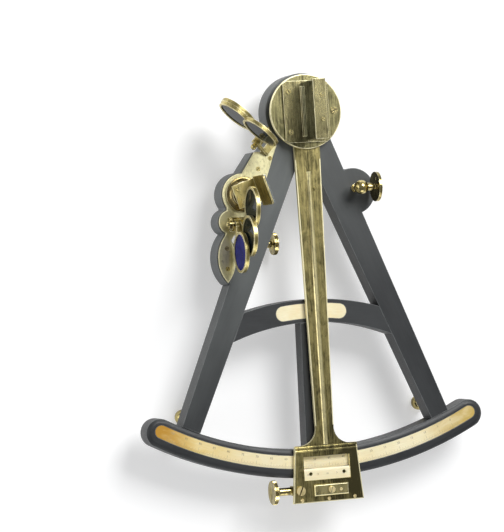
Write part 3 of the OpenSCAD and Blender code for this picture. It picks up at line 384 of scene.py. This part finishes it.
def ivory(name, stained=False):
    """Polished ivory; stained adds the orange that comes in from the ends of the arc."""
    material, tree, shader = new_finish(name)
    fine = place_round(tree, (0.5 * mm, 16 * mm, 0.5 * mm))
    grain = clouds(tree, fine, detail=4, roughness=0.6)
    broad = place_round(tree, (7 * mm, 18 * mm, 7 * mm))
    cloudy = clouds(tree, broad, detail=4, roughness=0.6, warp=0.5)
    cream = mix(tree, spread(tree, grain, 0, 1), (0.84, 0.75, 0.47), (0.95, 0.88, 0.64))
    toned = mix(tree, spread(tree, cloudy, 0, 0.5, 0.35, 0.75), cream, (0.82, 0.66, 0.34))
    if stained:
        place = add(tree, "ShaderNodeTexCoord")
        across = add(tree, "ShaderNodeSeparateXYZ", {0: place.outputs["Object"]}).outputs[0]
        wide = spread(tree, across, 0.8, 0, limb_low.x + 10 * mm, limb_low.x + 105 * mm)
        end = spread(tree, across, 1.2, 0, limb_low.x + 12 * mm, limb_low.x + 42 * mm)
        right = spread(tree, across, 0, 1.3, limb_high.x - 60 * mm, limb_high.x)
        uneven = spread(tree, cloudy, 0.65, 1.3)
        toned = mix(tree, product(tree, uneven, wide), toned, (0.76, 0.52, 0.08))
        toned = mix(tree, product(tree, uneven, end), toned, (0.52, 0.27, 0.030))
        toned = mix(tree, product(tree, uneven, right), toned, (0.56, 0.40, 0.11))
    tree.links.new(toned, shader.inputs["Base Color"])
    shader.inputs["Subsurface Weight"].default_value = 0.08
    shader.inputs["Subsurface Radius"].default_value = (1.0, 0.6, 0.3)
    shader.inputs["Subsurface Scale"].default_value = 0.6 * mm
    tree.links.new(spread(tree, grain, 0.30, 0.42), shader.inputs["Roughness"])
    tree.links.new(bumps(tree, grain, 0.12, 0.04 * mm), shader.inputs["Normal"])
    return material


arc_ivory = ivory("arc_ivory", stained=True)
plain_ivory = ivory("plain_ivory")
print("ivory made")

# %% [markdown]
# ## Mirrors and dark glass
# The mirrors are silvered glass with a few grey specks. The shades are thick coloured glass that
# lets a little of the sun through and nothing of a studio's light, so they look almost black, with
# a sharp reflection on a polished face. A dark body under a clear, hard surface gives that look
# from every side, and is easier to read than real absorption.

# %% Mirrors and shades


def silvered_glass():
    """A mirror whose silver has gone grey in small specks."""
    material, tree, shader = new_finish("silvered_glass")
    blotches = clouds(tree, place_on(tree, (1.8 * mm,) * 3), detail=6, roughness=0.7)
    specks = spread(tree, blotches, 0, 1, 0.62, 0.74)
    silver = mix(tree, specks, (0.70, 0.73, 0.70), (0.16, 0.15, 0.12))
    tree.links.new(silver, shader.inputs["Base Color"])
    shader.inputs["Metallic"].default_value = 1.0
    tree.links.new(spread(tree, specks, 0.05, 0.4, 0, 1), shader.inputs["Roughness"])
    shader.inputs["Coat Weight"].default_value = 0.3
    return material


def shade_glass(name, thin, thick, clear):
    """Coloured glass, a little uneven in its depth of colour; clear is the share that passes."""
    material, tree, shader = new_finish(name)
    uneven = clouds(tree, place_on(tree, (9 * mm,) * 3), detail=3)
    tree.links.new(mix(tree, spread(tree, uneven, 0, 1), thin, thick), shader.inputs["Base Color"])
    smears = clouds(tree, place_on(tree, (5 * mm, 1.5 * mm, 5 * mm)), detail=4)
    tree.links.new(spread(tree, smears, 0.03, 0.12), shader.inputs["Roughness"])
    shader.inputs["IOR"].default_value = 1.4
    shader.inputs["Specular IOR Level"].default_value = 0.12
    shader.inputs["Transmission Weight"].default_value = clear
    return material


finish_of_slot["silvered_glass"] = silvered_glass()
grey_green = ((0.014, 0.020, 0.017), (0.006, 0.009, 0.008))
deep_blue = ((0.014, 0.020, 0.26), (0.006, 0.008, 0.11))
finish_of_slot["dark_glass"] = shade_glass("dark_glass", *grey_green, 0.05)
finish_of_slot["blue_glass"] = shade_glass("blue_glass", *deep_blue, 0.1)
print("mirrors and shades made")

# %% [markdown]
# ## Soften the edges, with wear and a painted highlight
# Nothing made by hand has a perfectly sharp edge. Each solid is copied, its loose triangles are
# merged into whole faces, and its sharp edges are bevelled by a few tenths of a millimetre. A
# Bevel modifier would round them too, but here a hole's edge needs less than an outline's, and the
# bevel's own faces have to be marked with an attribute called wear_and_highlight. The finishes read
# it and make the edges pale, partly as real rubbing and partly as a painted highlight, so that both
# follow the real edges. The copy then stands for the CAD node.

# %% Bevelled copies of the CAD solids
# Widths in millimetres for the long outlines; short edges, such as a hole's, get the small bevel
bevel_of = {"left_leg": 0.45, "right_leg": 0.45, "limb": 0.5, "cross_brace": 0.4, "centre_bar": 0.4}
bevel_of.update({"index_disc": 0.8, "fittings_plate": 0.4, "centre_plate": 0.35, "arm_rib": 0.3})
bevel_of.update({"mirror_frame": 0.35, "horizon_frame": 0.25, "slide_bar": 0.2})
bevel_of["horizon_base"] = 0.3
bevel_of.update({f"index_shade_ring_{n}": 0.3 for n in (1, 2, 3)})
bevel_of.update({f"horizon_shade_ring_{n}": 0.3 for n in (1, 2, 3)})
sharp_turn = math.radians(34)
small_bevel = 0.14
long_reach = 12 * mm
# The arm's mouldings are fine steps, so all of its edges get the small bevel
stepped = {"index_arm"}
# The sides of these get a painted highlight, brighter than their rubbed edges
painted_bright_sides = {"index_arm", "index_disc", "slide_bar", "fittings_plate"}
side_highlight = 1.6


def chains(edges):
    """Sorts edges into chains that touch each other."""
    left = set(edges)
    for first in edges:
        if first not in left:
            continue
        left.discard(first)
        chain = [first]
        for edge in chain:
            for vert in edge.verts:
                for near in vert.link_edges:
                    if near in left:
                        left.discard(near)
                        chain.append(near)
        yield chain


def reach_of(chain):
    """The longest side of the box round a chain of edges."""
    spots = [vert.co for edge in chain for vert in edge.verts]
    return max(max(spot[i] for spot in spots) - min(spot[i] for spot in spots) for i in range(3))


def soften(node, width, finish):
    """A bevelled copy of a CAD node, with its bevels marked for wear and a painted highlight, that
    stands for the node.
    """
    source = frame["nodes"][node]
    mesh = source.data.copy()
    mesh.materials.clear()
    mesh.materials.append(finish)
    shape = bmesh.new()
    shape.from_mesh(mesh)
    bmesh.ops.remove_doubles(shape, verts=shape.verts, dist=0.002 * mm)
    bmesh.ops.dissolve_limit(
        shape, angle_limit=math.radians(0.2), verts=shape.verts, edges=shape.edges,
        delimit={"NORMAL"},
    )
    wear_and_highlight = shape.faces.layers.float.new("wear_and_highlight")
    sharp = [e for e in shape.edges if len(e.link_faces) == 2 and e.calc_face_angle(0) > sharp_turn]
    outline = []
    holes = []
    for chain in chains(sharp):
        is_outline = node not in stepped and reach_of(chain) > long_reach
        (outline if is_outline else holes).extend(chain)
    made = []
    for edges, offset, clamp in ((outline, width, False), (holes, small_bevel, True)):
        if edges:
            made += bmesh.ops.bevel(
                shape, geom=edges, offset=offset * mm, segments=2, profile=0.6, affect="EDGES",
                clamp_overlap=clamp, harden_normals=False, offset_type="OFFSET",
            )["faces"]
    for face in made:
        face[wear_and_highlight] = 1.0
    if node in painted_bright_sides:
        shape.normal_update()
        for face in shape.faces:
            heights = [vert.co.z for vert in face.verts]
            if abs(face.normal.z) < 0.5 and max(heights) - min(heights) > 1 * mm:
                face[wear_and_highlight] = side_highlight
    for face in shape.faces:
        face.material_index = 0
        face.smooth = True
    shape.to_mesh(mesh)
    shape.free()
    piece = bpy.data.objects.new("shown_" + node, mesh)
    bpy.context.scene.collection.objects.link(piece)
    mesh.set_sharp_from_angle(angle=sharp_turn)
    weighted = piece.modifiers.new("flat faces stay flat", "WEIGHTED_NORMAL")
    weighted.keep_sharp = True
    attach(piece, source["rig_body"])
    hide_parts(node)
    return piece


special_finish = dict(ebony_of)
special_finish.update({"index_arm": arm_brass, "arm_rib": rib_highlight_brass, "arc_scale": arc_ivory})
special_finish.update({"vernier": plain_ivory, "name_plate": plain_ivory})
special_finish.update({"index_disc": disc_brass, "mirror_frame": mirror_brass})
special_finish.update({"horizon_frame": aged_brass, "fittings_plate": plate_reflection_brass})
turned_nodes = ["tangent_screw", "clamp_screw", "adjuster_screw", "peep_post", "peep_vane", "feet"]
turned_nodes += ["horizon_shade_pin", "index_shade_pin", "horizon_base", "horizon_shade_bracket"]
special_finish.update({node: turned_brass for node in turned_nodes})
special_finish["horizon_base"] = cove_brass
special_finish.update({"vernier_screws": screw_brass, "slide_screw": screw_brass})
shown = {}
for node in frame["nodes"]:
    finish = special_finish.get(node) or finish_of_slot[slots[node]]
    shown[node] = soften(node, bevel_of.get(node, small_bevel), finish)
faces = sum(len(piece.data.polygons) for piece in shown.values())
print("softened", len(shown), "pieces,", faces, "faces")

# %% [markdown]
# ## Painted shade in the screws' slots
# The slots of old screws are darker: painted shade in the recess, where wax and dirt also stay when
# the heads are polished. A slot's floor faces up and lies below the head's top, and its walls stand
# on it near the screw's axis. Both are easily found on each loose piece of a node and given a
# darker finish, which is simpler than dark blocks that have to be laid in every slot.

# %% Dark slots


def loose_pieces(shape):
    """Sorts a mesh's faces into pieces that don't touch each other."""
    left = set(shape.faces)
    for first in shape.faces:
        if first not in left:
            continue
        left.discard(first)
        piece = [first]
        for face in piece:
            for edge in face.edges:
                for near in edge.link_faces:
                    if near in left:
                        left.discard(near)
                        piece.append(near)
        yield piece


def darken_slots(node):
    """Gives the slots of a node's upright screws the dark finish as painted shade; returns the
    faces it took.
    """
    mesh = shown[node].data
    mesh.materials.append(dark_brass)
    shape = bmesh.new()
    shape.from_mesh(mesh)
    for screw in loose_pieces(shape):
        spots = [vert.co for face in screw for vert in face.verts]
        low = Vector([min(spot[i] for spot in spots) for i in range(3)])
        high = Vector([max(spot[i] for spot in spots) for i in range(3)])
        half_head = (high.x - low.x) / 2
        floors = [
            face for face in screw
            if face.normal.z > 0.9 and face.calc_center_median().z < high.z - 0.1 * mm
        ]
        if not floors:
            continue
        floor = min(face.calc_center_median().z for face in floors)
        for face in screw:
            at = face.calc_center_median()
            near_axis = (at - (low + high) / 2).xy.length < 0.6 * half_head
            if face in floors or (abs(face.normal.z) < 0.3 and at.z > floor and near_axis):
                face.material_index = 1
    shape.to_mesh(mesh)
    shape.free()
    return sum(face.material_index for face in mesh.polygons)


slotted = ["vernier_screws", "slide_screw", "fittings_screws", "mirror_screws"]
print("dark faces in the slots:", {node: darken_slots(node) for node in slotted})
# The two screws in the vernier itself are dark all over, and stand above the others
below_vernier = pivot.y - 310 * mm
for face in shown["vernier_screws"].data.polygons:
    if face.center.y > below_vernier:
        face.material_index = 1

# %% [markdown]
# ## Divide the arc and the vernier
# The arc of an octant is cut into degrees of altitude, each half a degree of arc wide, and every
# degree into three. A dividing engine cuts one stroke, turns by a step and cuts the next. Geometry
# Nodes do the same here: one point for each stroke, placed from its number, with a longer stroke at
# each degree and each fifth degree. The strokes are filled with black that has worn brown and thin.

# %% Worn black filling


def worn_black():
    """The black wax in the strokes and numbers, worn brown and thin."""
    material, tree, shader = new_finish("worn_black")
    worn = clouds(tree, place_on(tree, (4 * mm,) * 3), detail=4)
    shade = mix(tree, spread(tree, worn, 0, 1), (0.16, 0.11, 0.06), (0.46, 0.38, 0.24))
    tree.links.new(shade, shader.inputs["Base Color"])
    shader.inputs["Roughness"].default_value = 0.6
    return material


black = worn_black()
print("filling made")

# %% Helpers for Geometry Nodes trees


def new_tree(name, inputs):
    """A Geometry Nodes tree with named inputs; returns it with its input node and identifiers."""
    tree = bpy.data.node_groups.new(name, "GeometryNodeTree")
    identifiers = {}
    for label, kind in inputs:
        socket = tree.interface.new_socket(label, in_out="INPUT", socket_type=kind)
        identifiers[label] = socket.identifier
    tree.interface.new_socket("Geometry", in_out="OUTPUT", socket_type="NodeSocketGeometry")
    return tree, tree.nodes.new("NodeGroupInput").outputs, identifiers


def end_tree(tree, instances, finish):
    """Realizes the instances, gives them their finish and joins them to the output."""
    whole = add(tree, "GeometryNodeRealizeInstances", {"Geometry": instances}).outputs[0]
    dressed = add(tree, "GeometryNodeSetMaterial", {"Geometry": whole, "Material": finish})
    output = tree.nodes.new("NodeGroupOutput")
    tree.links.new(dressed.outputs[0], output.inputs[0])


def grow(name, tree, identifiers, values):
    """Runs a tree once with the given values and returns the plain mesh that it makes."""
    host = bpy.data.objects.new("host", bpy.data.meshes.new("host"))
    bpy.context.scene.collection.objects.link(host)
    modifier = host.modifiers.new("grow", "NODES")
    modifier.node_group = tree
    for label, value in values.items():
        modifier[identifiers[label]] = value
    host.data.update()
    depsgraph = bpy.context.evaluated_depsgraph_get()
    mesh = bpy.data.meshes.new_from_object(host.evaluated_get(depsgraph), depsgraph=depsgraph)
    mesh.name = name
    bpy.data.objects.remove(host)
    return mesh


def set_out(name, mesh, body):
    """Puts a finished mesh into the scene and lets it ride on its body."""
    piece = bpy.data.objects.new(name, mesh)
    bpy.context.scene.collection.objects.link(piece)
    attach(piece, body)
    return piece


print("helpers made")

# %% Dividing engine
float_input = "NodeSocketFloat"


def dividing_engine():
    """One stroke at each step round the pivot, longer at each group and longest at a great one."""
    tree, given, identifiers = new_tree("dividing engine", [
        ("Strokes", "NodeSocketInt"), ("First Angle", float_input), ("Step Angle", float_input),
        ("Outer Radius", float_input), ("Short", float_input), ("Long", float_input),
        ("Longest", float_input), ("Group", float_input), ("Great Group", float_input),
        ("Straight", float_input), ("Slope", float_input), ("Line Width", float_input),
        ("Finish", "NodeSocketMaterial"),
    ])
    points = add(tree, "GeometryNodeMeshLine", {"Count": given["Strokes"]}).outputs[0]
    number = tree.nodes.new("GeometryNodeInputIndex").outputs[0]
    angle = calculate(tree, "MULTIPLY_ADD", number, given["Step Angle"], given["First Angle"])
    rest = calculate(tree, "MODULO", number, given["Group"])
    in_group = calculate(tree, "LESS_THAN", rest, 0.5)
    great_rest = calculate(tree, "MODULO", number, given["Great Group"])
    in_great = calculate(tree, "LESS_THAN", great_rest, 0.5)
    longer = calculate(tree, "SUBTRACT", given["Long"], given["Short"])
    longest = calculate(tree, "SUBTRACT", given["Longest"], given["Long"])
    length = calculate(tree, "MULTIPLY_ADD", in_group, longer, given["Short"])
    length = calculate(tree, "MULTIPLY_ADD", in_great, longest, length)
    half_length = calculate(tree, "MULTIPLY", length, 0.5)
    radius = calculate(tree, "SUBTRACT", given["Outer Radius"], half_length)
    bent = calculate(tree, "SUBTRACT", 1.0, given["Straight"])
    turn = calculate(tree, "MULTIPLY", angle, bent)
    slid = product(tree, product(tree, angle, radius), given["Straight"])
    x = calculate(tree, "MULTIPLY_ADD", calculate(tree, "SINE", turn), radius, slid)
    y = product(tree, calculate(tree, "COSINE", turn), product(tree, radius, -1.0))
    place = add(tree, "ShaderNodeCombineXYZ", {0: x, 1: y}).outputs[0]
    spots = {"Geometry": points, "Position": place}
    placed = add(tree, "GeometryNodeSetPosition", spots).outputs[0]
    lean = add(tree, "ShaderNodeCombineXYZ", {0: given["Slope"], 2: turn}).outputs[0]
    stroke = add(tree, "GeometryNodeMeshCube", {"Size": (1, 1, 1)}).outputs[0]
    thickness = 0.03 * mm
    sides = {0: given["Line Width"], 1: length, 2: thickness}
    size = add(tree, "ShaderNodeCombineXYZ", sides).outputs[0]
    rotation = add(tree, "FunctionNodeEulerToRotation", {0: lean}).outputs[0]
    row = add(tree, "GeometryNodeInstanceOnPoints", {
        "Points": placed, "Instance": stroke, "Rotation": rotation, "Scale": size,
    }).outputs[0]
    end_tree(tree, row, given["Finish"])
    return tree, identifiers


engine = dividing_engine()
print("dividing engine has", len(engine[0].nodes), "nodes")

# %% Strokes on the arc and the vernier
zero_angle = math.radians(24.1)
half_degree = math.radians(0.5)
third = half_degree / 3
scale_out = 299.7
line_width = 0.13 * mm
highest_degree = 100
number_step = 5


def cut_strokes(name, place, **values):
    """Cuts one row of strokes; place carries it from the pivot to where it belongs."""
    settings = {label.replace("_", " "): value for label, value in values.items()}
    settings["Finish"] = black
    mesh = grow(name, *engine, settings)
    mesh.transform(place)
    return mesh


# The thirds start two degrees before nought, and the last stroke is one degree past a hundred
arc_strokes = cut_strokes(
    "arc_strokes", Matrix.Translation(in_frame(0, 0, 0)), Strokes=3 * (highest_degree + 3) + 1,
    First_Angle=zero_angle + 2 * half_degree, Step_Angle=-third, Outer_Radius=scale_out * mm,
    Short=1.7 * mm, Long=2.7 * mm, Longest=2.7 * mm, Group=3.0, Great_Group=15.0, Straight=0.0,
    Slope=0.0, Line_Width=line_width,
)
five_strokes = cut_strokes(
    "five_degree_strokes", Matrix.Translation(in_frame(0, 0, 0)),
    Strokes=highest_degree // number_step + 1, First_Angle=zero_angle,
    Step_Angle=-number_step * half_degree, Outer_Radius=scale_out * mm, Short=4.6 * mm,
    Long=4.6 * mm, Longest=4.6 * mm, Group=1.0, Great_Group=1.0, Straight=0.0, Slope=0.0,
    Line_Width=0.15 * mm,
)
# The vernier's strokes lie on its bevelled edge, which falls by 0.96 mm over its width of 2.4 mm
bevel_fall = 0.96
bevel_width = 2.4
stroke_drop = 0.5
vernier_face = (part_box("vernier")[1].z - limb_face) / mm
vernier_lift = Matrix.Translation(on_arm(0, 0, vernier_face - stroke_drop))
vernier_place = vernier_lift @ Matrix.Rotation(arm_rest, 4, "Z")
vernier_edge = 299.8
# Its 20 parts cover 39 thirds of a degree, so each falls short of two of them by a twentieth
vernier_parts = 20
vernier_step = (2 * vernier_parts - 1) * third / vernier_parts
vernier_strokes = cut_strokes(
    "vernier_strokes", vernier_place, Strokes=vernier_parts + 1,
    First_Angle=vernier_parts / 2 * vernier_step, Step_Angle=-vernier_step,
    Outer_Radius=(vernier_edge + 2.2) * mm, Short=1.9 * mm, Long=1.9 * mm, Longest=2.1 * mm,
    Group=1.0, Great_Group=5.0, Straight=1.0, Slope=-math.atan2(bevel_fall, bevel_width),
    Line_Width=line_width,
)
set_out("arc_strokes", arc_strokes, "frame")
set_out("five_degree_strokes", five_strokes, "frame")
set_out("vernier_strokes", vernier_strokes, "arm")
strokes = [len(row.polygons) // 6 for row in (arc_strokes, five_strokes, vernier_strokes)]
print("strokes cut:", strokes[0] + strokes[1], "on the arc and", strokes[2], "on the vernier")

# %% [markdown]
# ## Number the scale
# The degrees are punched every five, from nought at the right to a hundred at the left, and rubbed
# almost away. Each number is a short text turned into a thin mesh before it is placed, because a
# mesh keeps its place when the arm or the frame moves.

# %% Numbers
# A text's size for a digit one high, the radius of the digits' feet on the arc, and how far below
# the vernier's edge its own digits stand
size_for_height = 1.42
number_row = 292.9
vernier_number_drop = 5.4


def punched(text, height, place):
    """A number as a thin closed mesh, with the middle of its foot at a place given by a matrix."""
    curve = bpy.data.curves.new("number", "FONT")
    curve.body = text
    curve.align_x = "CENTER"
    curve.size = height * size_for_height
    curve.extrude = 0.02 * mm
    curve.resolution_u = 2
    holder = bpy.data.objects.new("number", curve)
    bpy.context.scene.collection.objects.link(holder)
    depsgraph = bpy.context.evaluated_depsgraph_get()
    mesh = bpy.data.meshes.new_from_object(holder.evaluated_get(depsgraph), depsgraph=depsgraph)
    bpy.data.objects.remove(holder)
    mesh.transform(place)
    return mesh


def joined(name, meshes):
    """One mesh of many, filled with the worn black."""
    whole = bmesh.new()
    for mesh in meshes:
        whole.from_mesh(mesh)
        bpy.data.meshes.remove(mesh)
    result = bpy.data.meshes.new(name)
    whole.to_mesh(result)
    whole.free()
    result.materials.clear()
    result.materials.append(black)
    for face in result.polygons:
        face.material_index = 0
    return result


def arc_number_place(degree):
    """Beside the degree's stroke, with the top of the number to the pivot."""
    turn = Matrix.Rotation(zero_angle - degree * half_degree, 4, "Z")
    down = Matrix.Translation((0, -number_row * mm, 0))
    return Matrix.Translation(in_frame(0, 0, 0)) @ turn @ down


def vernier_number_place(minute):
    """On the flat of the vernier, below the minute's stroke."""
    along = (vernier_parts / 2 - minute) * vernier_step * vernier_edge * mm
    down = -(vernier_edge + vernier_number_drop) * mm
    return vernier_place @ Matrix.Translation((along, down, stroke_drop * mm))


degrees = range(0, highest_degree + 1, number_step)
minutes = range(0, vernier_parts + 1, number_step)
arc_numbers = joined("arc_numbers", [
    punched(str(degree), 1.9 * mm, arc_number_place(degree)) for degree in degrees
])
vernier_numbers = joined("vernier_numbers", [
    punched(str(minute), 1.5 * mm, vernier_number_place(minute)) for minute in minutes
])
set_out("arc_numbers", arc_numbers, "frame")
set_out("vernier_numbers", vernier_numbers, "arm")
print("numbers punched:", len(degrees) + len(minutes))

# %% [markdown]
# ## Mill the edges of the heads
# The heads of the tangent, clamp and adjusting screws are milled so that fingers can grip them. The
# ridges repeat exactly round a circle, so one Geometry Nodes tree makes them for all three heads: a
# square bar stands on its corner at each step, half sunk into the rim.

# %% Milled rims


def milling_tool():
    """A ring of square bars round Z, each with a corner outwards."""
    tree, given, identifiers = new_tree("milling tool", [
        ("Ridges", "NodeSocketInt"), ("Radius", float_input), ("Width", float_input),
        ("Ridge", float_input), ("Finish", "NodeSocketMaterial"),
    ])
    points = add(tree, "GeometryNodeMeshLine", {"Count": given["Ridges"]}).outputs[0]
    number = tree.nodes.new("GeometryNodeInputIndex").outputs[0]
    step = calculate(tree, "DIVIDE", 2 * math.pi, given["Ridges"])
    angle = calculate(tree, "MULTIPLY", number, step)
    x = calculate(tree, "MULTIPLY", calculate(tree, "COSINE", angle), given["Radius"])
    y = calculate(tree, "MULTIPLY", calculate(tree, "SINE", angle), given["Radius"])
    place = add(tree, "ShaderNodeCombineXYZ", {0: x, 1: y}).outputs[0]
    spots = {"Geometry": points, "Position": place}
    placed = add(tree, "GeometryNodeSetPosition", spots).outputs[0]
    corner_up = calculate(tree, "ADD", angle, math.pi / 4)
    turned = add(tree, "ShaderNodeCombineXYZ", {2: corner_up}).outputs[0]
    rotation = add(tree, "FunctionNodeEulerToRotation", {0: turned}).outputs[0]
    bar = add(tree, "GeometryNodeMeshCube", {"Size": (1, 1, 1)}).outputs[0]
    sides = {0: given["Ridge"], 1: given["Ridge"], 2: given["Width"]}
    size = add(tree, "ShaderNodeCombineXYZ", sides).outputs[0]
    ridges = add(tree, "GeometryNodeInstanceOnPoints", {
        "Points": placed, "Instance": bar, "Rotation": rotation, "Scale": size,
    }).outputs[0]
    end_tree(tree, ridges, given["Finish"])
    return tree, identifiers


mill = milling_tool()
ridge_pitch = 0.62
ridge_side = 0.3


def mill_rim(name, body, radius, width, centre, axis_turn):
    """Mills one head: its rim's middle is at centre, and axis_turn takes Z to the screw's axis."""
    count = int(2 * math.pi * radius / ridge_pitch)
    mesh = grow(name, *mill, {
        "Ridges": count, "Radius": radius * mm, "Width": width * mm, "Ridge": ridge_side * mm,
        "Finish": turned_brass,
    })
    mesh.transform(Matrix.Translation(centre) @ axis_turn)
    set_out(name, mesh, body)
    return count


along_x = Matrix.Rotation(math.pi / 2, 4, "Y")
along_arm_x = Matrix.Rotation(arm_rest, 4, "Z") @ along_x
tangent_head = on_arm(-45.75, -317.5, -4.5)
clamp_head = on_arm(2.3, -303, -35.5)
adjuster_head = in_frame(-21.75, -109.32, -30)
ridges = mill_rim("tangent_milling", "tangent_screw", 10, 2.9, tangent_head, along_arm_x)
ridges += mill_rim("clamp_milling", "clamp_screw", 7.5, 2.4, clamp_head, Matrix())
ridges += mill_rim("adjuster_milling", "adjuster_screw", 9.25, 2.9, adjuster_head, along_x)
print("ridges milled:", ridges)

# %% [markdown]
# ## Floor, lights and camera
# The floor and the world are plain and pale. One soft lamp beyond the head of the frame makes the
# shapes read and throws their shadow, and weaker cards at the left and the front fill it and give
# the brass something to reflect. The white of the backdrop comes from a glow that only seen rays
# meet, so it adds no light to the octant. The camera stands above the left of the octant, at the
# photograph's angle, and its long lens keeps the frame's lines straight.

# %% Floor


def seen_rays(tree):
    """One for the rays that show the backdrop: to the camera, in a reflection or through glass."""
    rays = tree.nodes.new("ShaderNodeLightPath").outputs
    direct = calculate(tree, "ADD", rays["Is Camera Ray"], rays["Is Glossy Ray"])
    seen = calculate(tree, "ADD", direct, rays["Is Transmission Ray"])
    return add(tree, "ShaderNodeClamp", {0: seen}).outputs[0]


floor_tone = 0.68
floor_glow = 0.40


def floor_finish():
    """A pale matt floor that looks white to the camera where no shadow falls on it."""
    material, tree, shader = new_finish("studio_floor")
    shader.inputs["Base Color"].default_value = (floor_tone, floor_tone, floor_tone, 1.0)
    shader.inputs["Roughness"].default_value = 0.9
    lift = product(tree, seen_rays(tree), floor_glow)
    shader.inputs["Emission Color"].default_value = (1, 1, 1, 1)
    tree.links.new(lift, shader.inputs["Emission Strength"])
    return material


def make_floor():
    """A wide square under the feet, which belongs to the stage and not to the octant."""
    mesh = bpy.data.meshes.new("floor")
    reach = 12.0
    corners = [(-reach, -reach, 0), (reach, -reach, 0), (reach, reach, 0), (-reach, reach, 0)]
    mesh.from_pydata(corners, [], [(0, 1, 2, 3)])
    mesh.materials.append(floor_finish())
    floor = bpy.data.objects.new("floor", mesh)
    bpy.context.scene.collection.objects.link(floor)


make_floor()
print("floor made")

# %% Lights
octant_middle = Vector((0, 0, 0.05))


def softbox(name, place, size, watts):
    """A square lamp that faces the middle of the octant."""
    lamp = bpy.data.lights.new(name, "AREA")
    lamp.size = size
    lamp.energy = watts
    stand = bpy.data.objects.new(name, lamp)
    stand.location = place
    toward = octant_middle - Vector(place)
    stand.rotation_euler = toward.to_track_quat("-Z", "Y").to_euler()
    bpy.context.scene.collection.objects.link(stand)


softbox("key_lamp", (0.45, 0.88, 1.3), 0.8, 24)
softbox("left_card", (-1.5, 0.15, 0.5), 1.0, 6)
softbox("front_card", (0.2, -1.5, 0.6), 1.0, 7)
world_light = 0.27
horizon_glow = 0.34


def make_world():
    """Soft, even light, seen by the camera and in the brass as pale low down and dimmer above."""
    world = bpy.data.worlds.new("pale_studio")
    bpy.context.scene.world = world
    world.use_nodes = True
    tree = world.node_tree
    seen = seen_rays(tree)
    direction = add(tree, "ShaderNodeTexCoord").outputs["Generated"]
    height = add(tree, "ShaderNodeSeparateXYZ", {0: direction}).outputs[2]
    glow = product(tree, spread(tree, height, horizon_glow, 0.0, 0.0, 0.6), seen)
    strength = calculate(tree, "ADD", glow, world_light)
    background = tree.nodes["Background"]
    background.inputs["Color"].default_value = (0.96, 0.975, 1.0, 1.0)
    tree.links.new(strength, background.inputs["Strength"])


make_world()
print("lights made")

# %% Camera
camera_aim = Vector((-0.0517069, 0.0202407, 0.045))
camera_azimuth = math.radians(-17.7736)
camera_tilt = math.radians(-0.4014)
camera_roll = math.radians(-2.76174)
camera_distance = 2.199438
lens_in_heights = 2631.6 / 532


def make_camera():
    """Stands the camera at its distance from the aim, leaned and rolled as in the photograph."""
    toward = Vector((
        math.sin(camera_azimuth) * math.cos(camera_tilt), math.sin(camera_tilt),
        math.cos(camera_azimuth) * math.cos(camera_tilt),
    ))
    right = (-toward).cross(Vector((0, 1, 0))).normalized()
    up = right.cross(-toward)
    turned_right = right * math.cos(camera_roll) + up * math.sin(camera_roll)
    turned_up = up * math.cos(camera_roll) - right * math.sin(camera_roll)
    camera = bpy.data.cameras.new("camera")
    camera.sensor_fit = "VERTICAL"
    camera.lens = lens_in_heights * camera.sensor_height
    camera.clip_end = 50
    stand = bpy.data.objects.new("camera", camera)
    axes = Matrix((turned_right, turned_up, toward)).transposed()
    stand.matrix_world = Matrix.Translation(camera_aim + toward * camera_distance) @ axes.to_4x4()
    bpy.context.scene.collection.objects.link(stand)
    bpy.context.scene.camera = stand


make_camera()
bpy.context.scene.view_settings.view_transform = "Standard"
print("camera", round(camera_distance, 3), "m from the octant")
